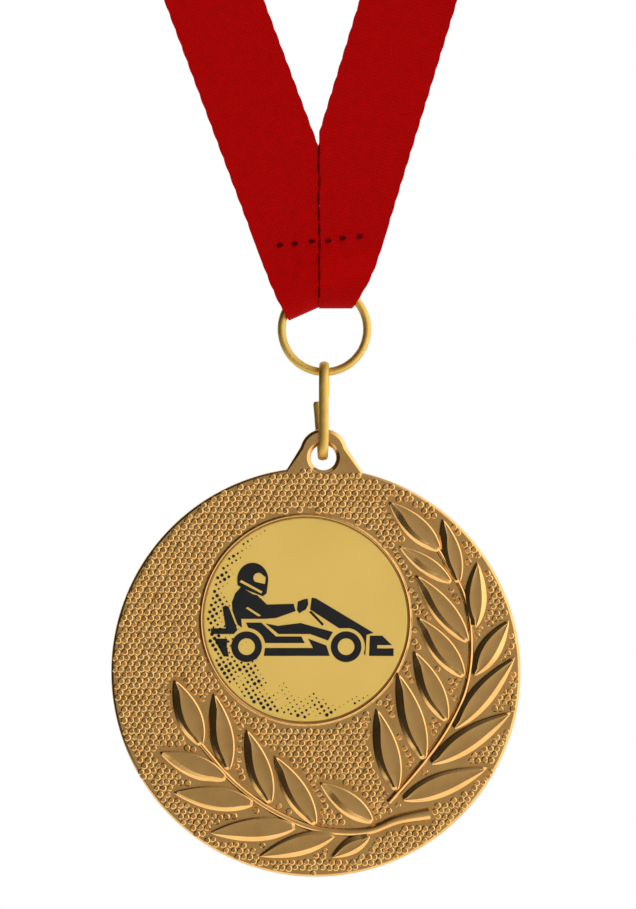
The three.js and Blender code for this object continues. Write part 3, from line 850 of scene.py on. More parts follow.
# %% The disc itself
PAD_THICK = 0.1
FIT_GAP = 0.03
EMBLEM_THICK = 0.45
EMBLEM_BACK = RECESS_FLOOR - FIT_GAP - PAD_THICK - FIT_GAP
EMBLEM_FRONT = EMBLEM_BACK - EMBLEM_THICK
emblem_rows = [
    (EMBLEM_R - 0.2, EMBLEM_FRONT),
    (EMBLEM_R - 0.12, EMBLEM_FRONT),
    (EMBLEM_R - 0.04, EMBLEM_FRONT + 0.03),
    (EMBLEM_R, EMBLEM_FRONT + 0.12),
    (EMBLEM_R, EMBLEM_BACK),
]
emblem_loops = [circle(EMBLEM_X, EMBLEM_Z, r, y, 192) for r, y in emblem_rows]
emblem_piece = make_piece("emblem_face", [loft(emblem_loops)], foil, crisp=30)

# %% [markdown]
# ## The print: a kart and its driver
# The print is a stencil pictogram of our own: a low kart, two tyres, and a seated driver in a
# plain helmet. Each shape is an outline filled and given the thickness of an ink film. Holes,
# such as a visor, are further outlines in the same shape.

# %% Filled outlines
INK = 0.02


def ink_shape(outer, *holes):
    """Corners and faces of a printed shape. Outlines are x, z in millimetres on the emblem."""
    outlines = [outer, *holes]
    flat = [Vector((x, z, 0)) for outline in outlines for x, z in outline]
    filled = tessellate_polygon([[Vector((x, z, 0)) for x, z in outline] for outline in outlines])
    count = len(flat)
    corners = [(EMBLEM_X + p.x, EMBLEM_FRONT - INK, EMBLEM_Z + p.y) for p in flat]
    corners += [(EMBLEM_X + p.x, EMBLEM_FRONT + INK, EMBLEM_Z + p.y) for p in flat]
    faces = [tuple(face) for face in filled]
    faces += [tuple(i + count for i in face) for face in filled]
    start = 0
    for outline in outlines:
        size = len(outline)
        for i in range(size):
            a = start + i
            b = start + (i + 1) % size
            faces.append((a, b, b + count, a + count))
        start += size
    return corners, faces


def arc(x, z, radius, first, last, count=24, squash=1.0):
    """Points on an arc, in degrees anticlockwise from the right."""
    turn = math.radians(last - first) / count
    start = math.radians(first)
    return [
        (x + radius * math.cos(start + turn * i), z + squash * radius * math.sin(start + turn * i))
        for i in range(count + 1)
    ]


# %% Tyres, floor pan and bodywork
REAR_X = -7.2
FRONT_X = 4.95
AXLE_Z = -3.3
TYRE_R = 1.88
HUB_R = 1.02
ARCH_R = 2.3
print_shapes = []
for wheel_x in (REAR_X, FRONT_X):
    tyre = arc(wheel_x, AXLE_Z, TYRE_R, 0, 352, 44)
    hub = arc(wheel_x, AXLE_Z, HUB_R, 0, 350, 35)
    print_shapes.append(ink_shape(tyre, hub))
# floor pan between the wheels
print_shapes.append(ink_shape(
    [(-4.95, -3.45), (0.9, -3.45), (0.3, -2.3), (2.55, -3.15), (2.95, -4.42), (-5.1, -4.42)],
))
# side pod, sloping back over the rear wheel
print_shapes.append(ink_shape(
    [(-4.95, -2.85), *arc(REAR_X, AXLE_Z, ARCH_R, 14, 84, 14), (-7.3, -0.35), (-5.4, -0.35),
     (-3.6, -2.05), (-0.5, -2.05), (-0.1, -2.85)],
))
# long nose panel, from the steering column down to the bumper, cut by the front wheel's arch
print_shapes.append(ink_shape(
    [(0.75, 2.7), (1.3, 2.6), (8.3, -1.6), (7.45, -1.85), (7.3, -4.42),
     *arc(FRONT_X, AXLE_Z, ARCH_R, -20, 80, 18), (4.1, -1.05), (0.55, 1.25)],
))
# bumper in two blades
print_shapes.append(ink_shape(
    [(7.85, -1.95), (9.35, -1.95), (10.55, -3.1), (8.75, -3.1), (8.75, -3.5), (10.75, -3.5),
     (10.75, -4.42), (7.75, -4.42)],
))
# rear bumper
print_shapes.append(ink_shape([(-11.2, -2.3), (-9.55, -2.3), (-9.6, -3.3), (-9.35, -4.5), (-10.0, -4.5)]))

# %% Seat, driver and helmet
HELMET_X = -6.45
HELMET_Z = 4.9
# bucket seat and its bracket
print_shapes.append(ink_shape(
    [(-10.15, 1.55), (-9.75, 1.75), (-9.35, 1.55), (-8.3, -1.25), (-8.75, -1.75), (-11.55, -1.75),
     (-11.55, -1.05), (-9.75, -1.05)],
))
# back, shoulder and the arm that reaches for the wheel
torso = [
    (-7.9, 4.0), (-8.6, 3.2), (-9.0, 2.1), (-8.9, 1.0), (-8.3, -0.6), (-7.75, -1.0), (-7.85, 0.1),
    (-4.9, 0.1), (-3.6, 0.2), (-1.2, 1.05), (-1.45, 1.95), (-4.7, 1.85), (-5.9, 3.0), (-6.4, 3.1),
]
print_shapes.append(ink_shape(torso, [(-7.3, 1.4), (-7.05, 1.55), (-5.4, 0.5), (-5.75, 0.4)]))
# glove on the steering wheel
print_shapes.append(ink_shape(
    [(-1.05, 1.2), (-0.95, 2.2), (-0.35, 2.45), (0.25, 2.6), (0.35, 1.9), (0.05, 1.25),
     (-0.45, 1.0), (-0.75, 0.75)],
))
# steering column
print_shapes.append(ink_shape([(0.4, 0.95), (0.7, 1.1), (2.25, -0.55), (2.05, -0.75)]))
# thigh and shin down to the pedals
print_shapes.append(ink_shape(
    [(-4.9, -0.45), (-3.4, -0.75), (-0.6, -0.4), (3.35, -1.5), (2.75, -2.55), (0.55, -1.75), (-3.3, -1.75)],
))
# plain full-face helmet with an open visor and a chin stripe
helmet = arc(HELMET_X, HELMET_Z, 1.9, -5, 188, 30, 1.08)
helmet += [(-8.3, 4.2), (-7.4, 3.7), (-5.2, 2.85), (-4.75, 3.2)]
visor = [*arc(-5.75, HELMET_Z + 0.2, 0.62, 60, 230, 10), (-4.95, 4.35), (-4.85, 5.15)]
stripe = [(-8.05, 4.6), (-7.85, 4.85), (-5.25, 3.45), (-5.4, 3.2)]
print_shapes.append(ink_shape(helmet, visor, stripe))
print_piece = make_piece("emblem_print", print_shapes, ink, crisp=30)

# %% [markdown]
# ## The halftone border
# Along the left and lower edge the print fades out in rows of dots: large by the edge, tiny
# further in, with gaps as in a worn stencil. Size falls with distance from the edge, so the
# rule suits Geometry Nodes: a grid of points, a size from each place, a small disc on each.

# %% The halftone tree
halftone, given = new_tree("halftone", [
    ("Emblem Radius", "Float"), ("Pitch", "Float"), ("Depth", "Float"), ("Largest", "Float"),
    ("Centre", "Vector"), ("Ink", "Float"), ("Seed", "Int"), ("Finish", "Material"),
])
width = add_node(halftone, "ShaderNodeMath", {
    0: given["Emblem Radius"], 1: 2,
}, operation="MULTIPLY").outputs[0]
pitches_across = add_node(halftone, "ShaderNodeMath", {
    0: width, 1: given["Pitch"],
}, operation="DIVIDE").outputs[0]
across_count = add_node(halftone, "ShaderNodeMath", {0: pitches_across}, operation="CEIL").outputs[0]
grid = add_node(halftone, "GeometryNodeMeshGrid", {
    "Size X": width, "Size Y": width, "Vertices X": across_count, "Vertices Y": across_count,
})
points = add_node(halftone, "GeometryNodeMeshToPoints", {"Mesh": grid.outputs["Mesh"]})
SCREEN_ANGLE = 32
turned = add_node(halftone, "GeometryNodeTransform", {
    "Rotation": (0, 0, math.radians(SCREEN_ANGLE)), "Geometry": points.outputs[0],
})
spot_at = add_node(halftone, "GeometryNodeInputPosition").outputs[0]
spot_xy = add_node(halftone, "ShaderNodeSeparateXYZ", {0: spot_at})
out = add_node(halftone, "ShaderNodeVectorMath", {0: spot_at}, operation="LENGTH")
from_edge = add_node(halftone, "ShaderNodeMath", {
    0: given["Emblem Radius"], 1: out.outputs["Value"],
}, operation="SUBTRACT").outputs[0]
# the border is deepest low on the left and dies away to the right and at the top
to_left = add_node(halftone, "ShaderNodeMath", {
    0: spot_xy.outputs["X"], 1: -0.8,
}, operation="MULTIPLY").outputs[0]
to_foot = add_node(halftone, "ShaderNodeMath", {
    0: spot_xy.outputs["Y"], 1: -0.5,
}, operation="MULTIPLY").outputs[0]
to_corner = add_node(halftone, "ShaderNodeMath", {0: to_left, 1: to_foot}, operation="ADD").outputs[0]
low_left = add_node(halftone, "ShaderNodeMath", {
    0: to_corner, 1: given["Emblem Radius"],
}, operation="DIVIDE").outputs[0]
depth_share = add_node(halftone, "ShaderNodeMath", {0: low_left, 1: 0.25}, operation="ADD").outputs[0]
reach = add_node(halftone, "ShaderNodeMath", {
    0: given["Depth"], 1: depth_share,
}, operation="MULTIPLY").outputs[0]
patches = add_node(halftone, "ShaderNodeTexNoise", {"Scale": 420, "Detail": 1, "Vector": spot_at})
uneven = add_node(halftone, "ShaderNodeMath", {
    0: patches.outputs[0], 1: 0.5,
}, operation="SUBTRACT").outputs[0]
worn = add_node(halftone, "ShaderNodeMath", {0: uneven, 1: 3}, operation="MULTIPLY").outputs[0]
at_edge = add_node(halftone, "ShaderNodeMath", {0: 1, 1: worn}, operation="ADD").outputs[0]
fallen = add_node(halftone, "ShaderNodeMath", {0: from_edge, 1: reach}, operation="DIVIDE").outputs[0]
fade = add_node(halftone, "ShaderNodeMath", {0: at_edge, 1: fallen}, operation="SUBTRACT").outputs[0]
speck = add_node(halftone, "FunctionNodeRandomValue", {
    "Min": 0.75, "Max": 1.0, "Seed": given["Seed"],
}, data_type="FLOAT")
specked = add_node(halftone, "ShaderNodeMath", {
    0: fade, 1: speck.outputs["Value"],
}, operation="MULTIPLY").outputs[0]
size_share = add_node(halftone, "ShaderNodeMath", {0: specked, 1: 1}, operation="MINIMUM").outputs[0]
dot_size = add_node(halftone, "ShaderNodeMath", {
    0: given["Largest"], 1: size_share,
}, operation="MULTIPLY").outputs[0]
least_size = add_node(halftone, "ShaderNodeMath", {
    0: given["Largest"], 1: 0.22,
}, operation="MULTIPLY").outputs[0]
too_small = add_node(halftone, "ShaderNodeMath", {
    0: dot_size, 1: least_size,
}, operation="LESS_THAN").outputs[0]
bare_edge = add_node(halftone, "ShaderNodeMath", {
    0: given["Pitch"], 1: 0.8,
}, operation="MULTIPLY").outputs[0]
off_edge = add_node(halftone, "ShaderNodeMath", {
    0: from_edge, 1: bare_edge,
}, operation="LESS_THAN").outputs[0]
outside = add_node(halftone, "ShaderNodeMath", {0: reach, 1: 0}, operation="LESS_THAN").outputs[0]
unseen = add_node(halftone, "ShaderNodeMath", {0: too_small, 1: off_edge}, operation="MAXIMUM").outputs[0]
drop = add_node(halftone, "ShaderNodeMath", {0: unseen, 1: outside}, operation="MAXIMUM").outputs[0]
left = add_node(halftone, "GeometryNodeDeleteGeometry", {
    "Geometry": turned.outputs[0], "Selection": drop,
}, domain="POINT")
disc = add_node(halftone, "GeometryNodeMeshCylinder", {"Vertices": 10, "Radius": 1.0, "Depth": 1.0})
dot_scale = add_node(halftone, "ShaderNodeCombineXYZ", {"X": dot_size, "Y": dot_size, "Z": given["Ink"]})
dots = add_node(halftone, "GeometryNodeInstanceOnPoints", {
    "Points": left.outputs[0], "Instance": disc.outputs["Mesh"], "Scale": dot_scale.outputs[0],
})
stood = add_node(halftone, "GeometryNodeTransform", {
    "Rotation": (math.radians(90), 0, 0), "Geometry": dots.outputs[0], "Translation": given["Centre"],
})
real = add_node(halftone, "GeometryNodeRealizeInstances", {"Geometry": stood.outputs[0]})
dressed = add_node(halftone, "GeometryNodeSetMaterial", {
    "Geometry": real.outputs[0], "Material": given["Finish"],
})
add_node(halftone, "NodeGroupOutput", {"Geometry": dressed.outputs[0]})

halftone_piece = grow("emblem_halftone", halftone, {
    "Emblem Radius": EMBLEM_R * MM, "Pitch": 0.6 * MM, "Depth": 6.0 * MM, "Largest": 0.23 * MM,
    "Centre": spot(EMBLEM_X, EMBLEM_FRONT, EMBLEM_Z), "Ink": 2 * INK * MM, "Seed": 3, "Finish": ink,
})

# %% [markdown]
# ## Ring and clip wire
# The jump ring and the clip are bent from brass-plated steel wire. Plated wire is yellower and
# more matt than the casting, with small rubbed marks.

# %% Plated wire
plated_wire, tree, shader = new_material("plated_wire")
shader.inputs["Metallic"].default_value = 1
at = add_node(tree, "ShaderNodeTexCoord").outputs["Object"]
rubbed = add_node(tree, "ShaderNodeTexNoise", {"Scale": 700, "Detail": 4, "Vector": at})
wire_ramp = add_node(tree, "ShaderNodeValToRGB", {0: rubbed.outputs[0]})
set_stops(wire_ramp, [(0.3, linear("#D2AC56")), (0.7, linear("#DDB964"))])
tree.links.new(wire_ramp.outputs[0], shader.inputs["Base Color"])
wire_dull = add_node(tree, "ShaderNodeMapRange", {
    "To Min": 0.55, "To Max": 0.62, "Value": rubbed.outputs[0],
})
tree.links.new(wire_dull.outputs[0], shader.inputs["Roughness"])
wire_bump = add_node(tree, "ShaderNodeBump", {
    "Strength": 0.3, "Distance": 0.02 * MM, "Height": rubbed.outputs[0],
})
tree.links.new(wire_bump.outputs[0], shader.inputs["Normal"])

# %% The jump ring, open at its joint
RING_X = 1.05
RING_Z = 41.87
RING_MEAN = 5.22
WIRE_R = 0.5
JOINT_ANGLE = -29
JOINT_GAP = 0.01


def rounded_end(share, blunt, least):
    """1 along a wire, falling to a rounded end within blunt of either end."""
    edge = min(share, 1 - share) / blunt
    return 1.0 if edge >= 1 else least + (1 - least) * math.sqrt(1 - (1 - edge) ** 2)


half_gap = math.degrees(JOINT_GAP / 2 / RING_MEAN)
RING_STEPS = 200
ring_path = []
for i in range(RING_STEPS + 1):
    angle = math.radians(JOINT_ANGLE + half_gap + (360 - 2 * half_gap) * i / RING_STEPS)
    on_ring = Vector((math.cos(angle), 0, math.sin(angle))) * RING_MEAN
    ring_path.append(Vector((RING_X, 0, RING_Z)) + on_ring)


def ring_size(share):
    """Half the ring wire's thickness, a share of the way round."""
    return WIRE_R * rounded_end(share, 0.006, 0.9)


ring_bar = sweep(ring_path, Vector((0, 1, 0)), ring_size, ring_size, 24)
ring_piece = make_piece("jump_ring_wire", [ring_bar], plated_wire, 40)

# %% The clip, one bent wire: its lower end shows on the left, its upper end stops just above it
CLIP_X = 0.97
CLIP_TOP = 37.95
CLIP_BOTTOM = 25.83
CLIP_THICK = 0.35
CLIP_WIDE = 0.6
CLIP_MEAN = 1.5 + CLIP_THICK
CLIP_LEAD = 0.5
clip_low = CLIP_BOTTOM + CLIP_THICK + CLIP_MEAN
clip_high = CLIP_TOP - CLIP_THICK - CLIP_MEAN
BEND_PARTS = 6
LOW_LEAD = 0.25         # the lower bend leads the wire this far to the left
HIGH_LEAD = 0.12        # and the upper bend this far to the right
clip_points = [
    (CLIP_X - CLIP_LEAD - 0.22, CLIP_MEAN, clip_high - 2.7),
    (CLIP_X - CLIP_LEAD - 0.1, CLIP_MEAN, clip_high - 4),
    (CLIP_X - CLIP_LEAD + 0.1, CLIP_MEAN, clip_low + 1.2),
    (CLIP_X - LOW_LEAD, CLIP_MEAN, clip_low),
]
for i in range(1, BEND_PARTS):
    angle = math.pi * i / BEND_PARTS
    x = CLIP_X - LOW_LEAD * (1 - i / BEND_PARTS)
    clip_points.append((x, CLIP_MEAN * math.cos(angle), clip_low - CLIP_MEAN * math.sin(angle)))
clip_points += [(CLIP_X, -CLIP_MEAN, z) for z in (clip_low, (clip_low + clip_high) / 2, clip_high)]
for i in range(1, BEND_PARTS):
    angle = math.pi * i / BEND_PARTS
    x = CLIP_X + HIGH_LEAD * i / BEND_PARTS
    clip_points.append((x, -CLIP_MEAN * math.cos(angle), clip_high + CLIP_MEAN * math.sin(angle)))
clip_points += [
    (CLIP_X + HIGH_LEAD, CLIP_MEAN, clip_high - 0.3),
    (CLIP_X + 0.1, CLIP_MEAN, clip_high - 1.2),
    (CLIP_X + 0.06, CLIP_MEAN, clip_high - 2.3),
]
clip_path = smooth_path(clip_points, 8)


def clip_wide(share):
    """Half the clip wire's width, a share of the way along it."""
    return CLIP_WIDE * rounded_end(share, 0.02, 0.72)


def clip_thick(share):
    """Half the clip wire's thickness, a share of the way along it."""
    return CLIP_THICK * rounded_end(share, 0.02, 0.72)


clip_bar = sweep(clip_path, Vector((1, 0, 0)), clip_wide, clip_thick, 24)
clip_piece = make_piece("wire_clip_bent", [clip_bar], plated_wire, 40)

# %% [markdown]
# ## The neck ribbon
# The ribbon is 11 mm polyester, 800 mm long: one strip that goes from the sewn fold up the
# front, round behind the neck and down again, so that its two ends meet at a mitred seam and
# fold back round the ring. Ribbon bends but doesn't stretch, so each leg is a flat strip rolled
# round a tilted cylinder. That keeps its true length and width without a simulation.

# %% The ribbon's sizes
RIBBON_WIDE = 11.4
RIBBON_THICK = 0.6
RIBBON_LONG = 800
LEAN_LEFT = 20.5
LEAN_RIGHT = 17
CROSSING = Vector((0.63, 47.1))
SEAM_X = 0.4
SEAM_GAP = 0.001
POCKET_HALF = 1.65
POCKET_HIGH = 7.8
POCKET_TAIL = 9.6
LAYER_Y = RIBBON_THICK / 2 + 0.05
FOLD_LEFT = {"slope": 24, "z": 44.55, "pinch": 0.65}
FOLD_RIGHT = {"slope": 0, "z": 44.4, "pinch": 1.6}
POCKET_TAKES = 2.6      # ribbon that the turn under the ring takes up
BULGE = POCKET_HALF + RIBBON_THICK / 2
FOLD_CENTRE = RIBBON_THICK / 2 + BULGE


class Leg:
    """One side of the ribbon. up runs along it, out points across it, away from the middle."""

    def __init__(self, lean, side):
        tilt = math.radians(lean)
        beta = (math.pi / 2 - tilt) / 2
        self.side = side
        self.tilt = tilt
        self.up = Vector((side * math.sin(tilt), math.cos(tilt)))
        self.out = Vector((side * math.cos(tilt), -math.sin(tilt)))
        self.axis = Vector((-side * math.sin(beta), math.cos(beta)))
        self.round = Vector((side * math.cos(beta), math.sin(beta)))
        self.rise = math.sin(beta)
        self.shift = math.tan(beta) * math.sin(beta)
        self.run = 1 / math.cos(beta)


LEFT = Leg(LEAN_LEFT, -1)
RIGHT = Leg(LEAN_RIGHT, 1)
spread = math.tan(LEFT.tilt) + math.tan(RIGHT.tilt)
NAPE_RISE = sum(leg.rise * math.tan(leg.tilt) + leg.shift for leg in (LEFT, RIGHT)) / spread
runs = sum((NAPE_RISE - leg.rise) / math.cos(leg.tilt) + leg.run for leg in (LEFT, RIGHT))
TURN = (RIBBON_LONG - 2 * (POCKET_TAIL + POCKET_TAKES)) / runs
NAPE_R = TURN / math.pi
print("the ribbon turns round", round(2 * NAPE_R, 1), "mm at the nape")

# %% Cuts across a leg
COLUMNS = 9
SCALLOP = 2.1
SCALLOP_DEEP = 0.1


def straight_run(leg):
    """Length of the leg's flat front, from the crossing to where it starts to turn."""
    return (NAPE_RISE - leg.rise) * TURN / math.cos(leg.tilt)


def rolled(leg, flat):
    """A point of the flat leg, rolled round its cylinder: its place and its outward normal."""
    start = CROSSING + leg.up * straight_run(leg)
    along = (flat - start).dot(leg.axis)
    wound = (flat - start).dot(leg.round)
    angle = min(max(wound / NAPE_R, 0), math.pi)
    reach = NAPE_R * math.sin(angle)
    if wound < 0:
        reach = wound
    if wound > math.pi * NAPE_R:
        reach = math.pi * NAPE_R - wound
    level = start + leg.axis * along + leg.round * reach
    place = Vector((level.x, -LAYER_Y + NAPE_R * (1 - math.cos(angle)), level.y))
    normal = Vector((leg.round.x * math.sin(angle), -math.cos(angle), leg.round.y * math.sin(angle)))
    return place, normal


def scallop(distance):
    """How far the woven edge swells between two of its weft loops."""
    return SCALLOP_DEEP * abs(math.sin(math.pi * distance / SCALLOP))


def leg_cut(leg, distance):
    """Points across the leg, outer edge first, at a distance above the crossing."""
    half = RIBBON_WIDE / 2 - SCALLOP_DEEP / 2 + scallop(distance)
    middle = CROSSING + leg.up * distance
    to_seam = (SEAM_X + leg.side * SEAM_GAP - middle.x) / leg.out.x
    inner = max(-half, to_seam)
    shares = [i / (COLUMNS - 1) for i in range(COLUMNS)]
    return [rolled(leg, middle + leg.out * (half + (inner - half) * share)) for share in shares]


def layer_out(height):
    """How far in front of the middle the pocket's front layer stands, above the fold."""
    s = min(max((height - FOLD_CENTRE) / (POCKET_HIGH - FOLD_CENTRE), 0), 1)
    return BULGE + (LAYER_Y - BULGE) * s * s * (3 - 2 * s)


# %% The sewn fold, from the tail behind, under the ring and up the front
def pocket_line():
    """The fold seen from the side: height above the fold, y, and the normal's two parts."""
    closing = 14
    turning = 18
    heights = [FOLD_CENTRE + (POCKET_HIGH - FOLD_CENTRE) * i / closing for i in range(closing + 1)]
    rows = [(POCKET_TAIL, LAYER_Y, 0, 1)]
    rows += [(height, layer_out(height), 0, 1) for height in reversed(heights)]
    for i in range(1, turning):
        angle = math.pi * i / turning
        rows.append((
            FOLD_CENTRE - BULGE * math.sin(angle), BULGE * math.cos(angle), -math.sin(angle), math.cos(angle),
        ))
    rows += [(height, -layer_out(height), 0, -1) for height in heights]
    return rows


def pocket_cuts(leg, fold):
    """Cuts of one leg's fold, pinched at its outer corner where the round ring squeezes it."""
    slope = math.radians(fold["slope"])
    along = Vector((leg.side * math.cos(slope), -math.sin(slope)))
    up = Vector((leg.side * math.sin(slope), math.cos(slope)))
    seam_x = SEAM_X + leg.side * SEAM_GAP
    edge_point = CROSSING + leg.out * (RIBBON_WIDE / 2)
    cuts = []
    for height, y, up_part, y_part in pocket_line():
        start = Vector((seam_x, fold["z"])) + up * height
        across = along.x * leg.up.y - along.y * leg.up.x
        gap = edge_point - start
        edge = (gap.x * leg.up.y - gap.y * leg.up.x) / across
        squeeze = max(0, 1 - height / POCKET_HIGH)
        outer = edge - fold["pinch"] * squeeze ** 3 + scallop(height) - SCALLOP_DEEP / 2
        inner = (seam_x - start.x) / along.x
        normal = Vector((up.x * up_part, y_part, up.y * up_part))
        cut = []
        for i in range(COLUMNS):
            flat = start + along * (outer + (inner - outer) * i / (COLUMNS - 1))
            cut.append((Vector((flat.x, y, flat.y)), normal))
        cuts.append(cut)
    return cuts


# %% Both legs in one strip
FIRST_CUT = 9.6
CUT_STEP = 0.42


def leg_cuts(leg, fold):
    """All the cuts of one leg, from its tail behind the fold to the nape."""
    cuts = pocket_cuts(leg, fold)
    low = cuts[-1]
    first = leg_cut(leg, FIRST_CUT)
    for i in range(1, 6):
        cuts.append([(a.lerp(b, i / 6), normal) for (a, normal), (b, _) in zip(low, first)])
    whole = straight_run(leg) + leg.run * TURN
    steps = round((whole - FIRST_CUT) / CUT_STEP)
    for i in range(steps + 1):
        cuts.append(leg_cut(leg, FIRST_CUT + (whole - FIRST_CUT) * i / steps))
    return cuts


strip = leg_cuts(LEFT, FOLD_LEFT)
strip += reversed(leg_cuts(RIGHT, FOLD_RIGHT)[:-1])
print(len(strip), "cuts along the ribbon")

# %% [markdown]
# ## Woven red polyester
# Satin-edged polyester ribbon is woven with fine crosswise ribs. The colour is a deep, almost
# even red; the ribs and the warp threads only show as a faint grain, and the yarn has a soft
# sheen. The pattern follows the ribbon, so it reads a UV map in millimetres.

# %% Ribbon material
RIB_MM = 0.42
WARP_MM = 0.3
woven_red, tree, shader = new_material("woven_polyester_red")
uv = add_node(tree, "ShaderNodeUVMap", uv_map="along_ribbon").outputs[0]
parts = add_node(tree, "ShaderNodeSeparateXYZ", {0: uv})
rib_turn = add_node(tree, "ShaderNodeMath", {
    0: parts.outputs["Y"], 1: 2 * math.pi / RIB_MM,
}, operation="MULTIPLY").outputs[0]
rib = add_node(tree, "ShaderNodeMath", {0: rib_turn}, operation="SINE").outputs[0]
warp_turn = add_node(tree, "ShaderNodeMath", {
    0: parts.outputs["X"], 1: 2 * math.pi / WARP_MM,
}, operation="MULTIPLY").outputs[0]
warp = add_node(tree, "ShaderNodeMath", {0: warp_turn}, operation="SINE").outputs[0]
faint_warp = add_node(tree, "ShaderNodeMath", {0: warp, 1: 0.7}, operation="MULTIPLY").outputs[0]
threads = add_node(tree, "ShaderNodeMath", {0: rib, 1: faint_warp}, operation="ADD").outputs[0]
weave = add_node(tree, "ShaderNodeMath", {0: threads, 1: 0.5}, operation="MULTIPLY").outputs[0]
fibre = add_node(tree, "ShaderNodeTexNoise", {"Scale": 0.8, "Detail": 4, "Vector": uv})
faint_weave = add_node(tree, "ShaderNodeMath", {0: weave, 1: 0.14}, operation="MULTIPLY").outputs[0]
tone = add_node(tree, "ShaderNodeMath", {0: fibre.outputs[0], 1: faint_weave}, operation="ADD").outputs[0]
red_ramp = add_node(tree, "ShaderNodeValToRGB", {0: tone})
set_stops(red_ramp, [(0.2, linear("#960000")), (0.8, linear("#A40000"))])
tree.links.new(red_ramp.outputs[0], shader.inputs["Base Color"])
shader.inputs["Roughness"].default_value = 0.85
shader.inputs["Specular IOR Level"].default_value = 0.06
shader.inputs["Sheen Weight"].default_value = 0.02
shader.inputs["Sheen Roughness"].default_value = 0.5
shader.inputs["Sheen Tint"].default_value = linear("#C01010")
rib_bump = add_node(tree, "ShaderNodeBump", {"Strength": 0.5, "Distance": 0.05 * MM, "Height": weave})
tree.links.new(rib_bump.outputs[0], shader.inputs["Normal"])

# %% The ribbon's mesh and its map
half_thick = RIBBON_THICK / 2
ribbon_loops = []
map_rows = []
travelled = 0.0
previous = None
for cut in strip:
    middle = cut[COLUMNS // 2][0]
    travelled += (middle - previous).length if previous else 0
    previous = middle
    edge = cut[0][0]
    spans = [(place - edge).length for place, normal in cut]
    front = [place + normal * half_thick for place, normal in cut]
    back = [place - normal * half_thick for place, normal in cut]
    ribbon_loops.append(front + back[::-1])
    map_rows.append([(span, travelled) for span in spans + spans[::-1]])
ribbon_corners, ribbon_faces = loft(ribbon_loops)
ribbon_mesh = bpy.data.meshes.new("ribbon_woven")
ribbon_mesh.from_pydata([spot(*corner) for corner in ribbon_corners], [], ribbon_faces)
map_points = [point for row in map_rows for point in row]
ribbon_uv = ribbon_mesh.uv_layers.new(name="along_ribbon")
for loop in ribbon_mesh.loops:
    ribbon_uv.data[loop.index].uv = map_points[loop.vertex_index]
work = bmesh.new()
work.from_mesh(ribbon_mesh)
bmesh.ops.recalc_face_normals(work, faces=work.faces)
work.to_mesh(ribbon_mesh)
work.free()
ribbon_mesh.materials.append(woven_red)
ribbon_mesh.shade_smooth()
ribbon_mesh.set_sharp_from_angle(angle=math.radians(50))
ribbon_piece = bpy.data.objects.new("ribbon_woven", ribbon_mesh)
bpy.context.scene.collection.objects.link(ribbon_piece)
print("ribbon", len(ribbon_mesh.polygons), "faces,", round(travelled), "mm along the middle")

# %% [markdown]
# ## Sewing thread
# Two rows of machine stitches hold the fold: one across both legs and one up the mitred joint.
# Each stitch is a short thread that dives into the cloth at both ends, so the row reads as dark marks; the
# row up the joint overlaps into one unbroken dark line, which also paints the shadow of the joint. Geometry
# Nodes repeats one stitch along a path at the stitch length.

# %% Thread material and one stitch
sewing_thread, tree, shader = new_material("twisted_sewing_thread")
at = add_node(tree, "ShaderNodeTexCoord").outputs["Object"]
twist = add_node(tree, "ShaderNodeTexWave", {"Scale": 1500, "Distortion": 1, "Vector": at})
thread_ramp = add_node(tree, "ShaderNodeValToRGB", {0: twist.outputs[0]})
set_stops(thread_ramp, [(0.2, linear("#380003")), (0.8, linear("#560104"))])
tree.links.new(thread_ramp.outputs[0], shader.inputs["Base Color"])
shader.inputs["Roughness"].default_value = 0.8
shader.inputs["Specular IOR Level"].default_value = 0.02
twist_bump = add_node(tree, "ShaderNodeBump", {
    "Strength": 0.6, "Distance": 0.03 * MM, "Height": twist.outputs[0],
})
tree.links.new(twist_bump.outputs[0], shader.inputs["Normal"])

STITCH_SHAPE = 12
STITCH_ARCH = 0.16
stitch_path = []
for i in range(STITCH_SHAPE + 1):
    x = i / STITCH_SHAPE * 2 - 1
    stitch_path.append(Vector((x, -STITCH_ARCH * (1 - x * x), 0)))


def thread_swell(share):
    """1 in the middle of a stitch, falling to thin ends."""
    return math.sqrt(max(0.06, 1 - (2 * share - 1) ** 2))


stitch_corners, stitch_faces = sweep(
    stitch_path, Vector((0, 0, 1)),
    lambda share: 0.3 * thread_swell(share), lambda share: 0.2 * thread_swell(share), 8,
)
stitch_mesh = bpy.data.meshes.new("stitch")
stitch_mesh.from_pydata(stitch_corners, [], stitch_faces)
stitch = bpy.data.objects.new("stitch_pattern", stitch_mesh)
bpy.context.scene.collection.objects.link(stitch)

# %% A row of stitches along a path
stitches, given = new_tree("stitch_row", [
    ("Stitch Length", "Float"), ("Share Sewn", "Float"), ("Thread Size", "Float"), ("Wander", "Float"),
    ("Seed", "Int"), ("Stitch", "Object"), ("Finish", "Material"),
])
line = add_node(stitches, "GeometryNodeMeshToCurve", {0: given["Geometry"]})
spaced = add_node(stitches, "GeometryNodeResampleCurve", {
    "Curve": line.outputs[0], "Length": given["Stitch Length"],
}, mode="LENGTH")
tangent = add_node(stitches, "GeometryNodeInputTangent").outputs[0]
wander_max = add_node(stitches, "ShaderNodeCombineXYZ", {"X": given["Wander"], "Z": given["Wander"]})
wander_min = add_node(stitches, "ShaderNodeVectorMath", {
    0: wander_max.outputs[0], "Scale": -1,
}, operation="SCALE")
wander = add_node(stitches, "FunctionNodeRandomValue", {
    "Min": wander_min.outputs[0], "Max": wander_max.outputs[0], "Seed": given["Seed"],
}, data_type="FLOAT_VECTOR")
strayed = add_node(stitches, "GeometryNodeSetPosition", {
    "Geometry": spaced.outputs[0], "Offset": wander.outputs["Value"],
})
turn_to = add_node(stitches, "FunctionNodeAlignRotationToVector", {"Vector": tangent}, axis="X")
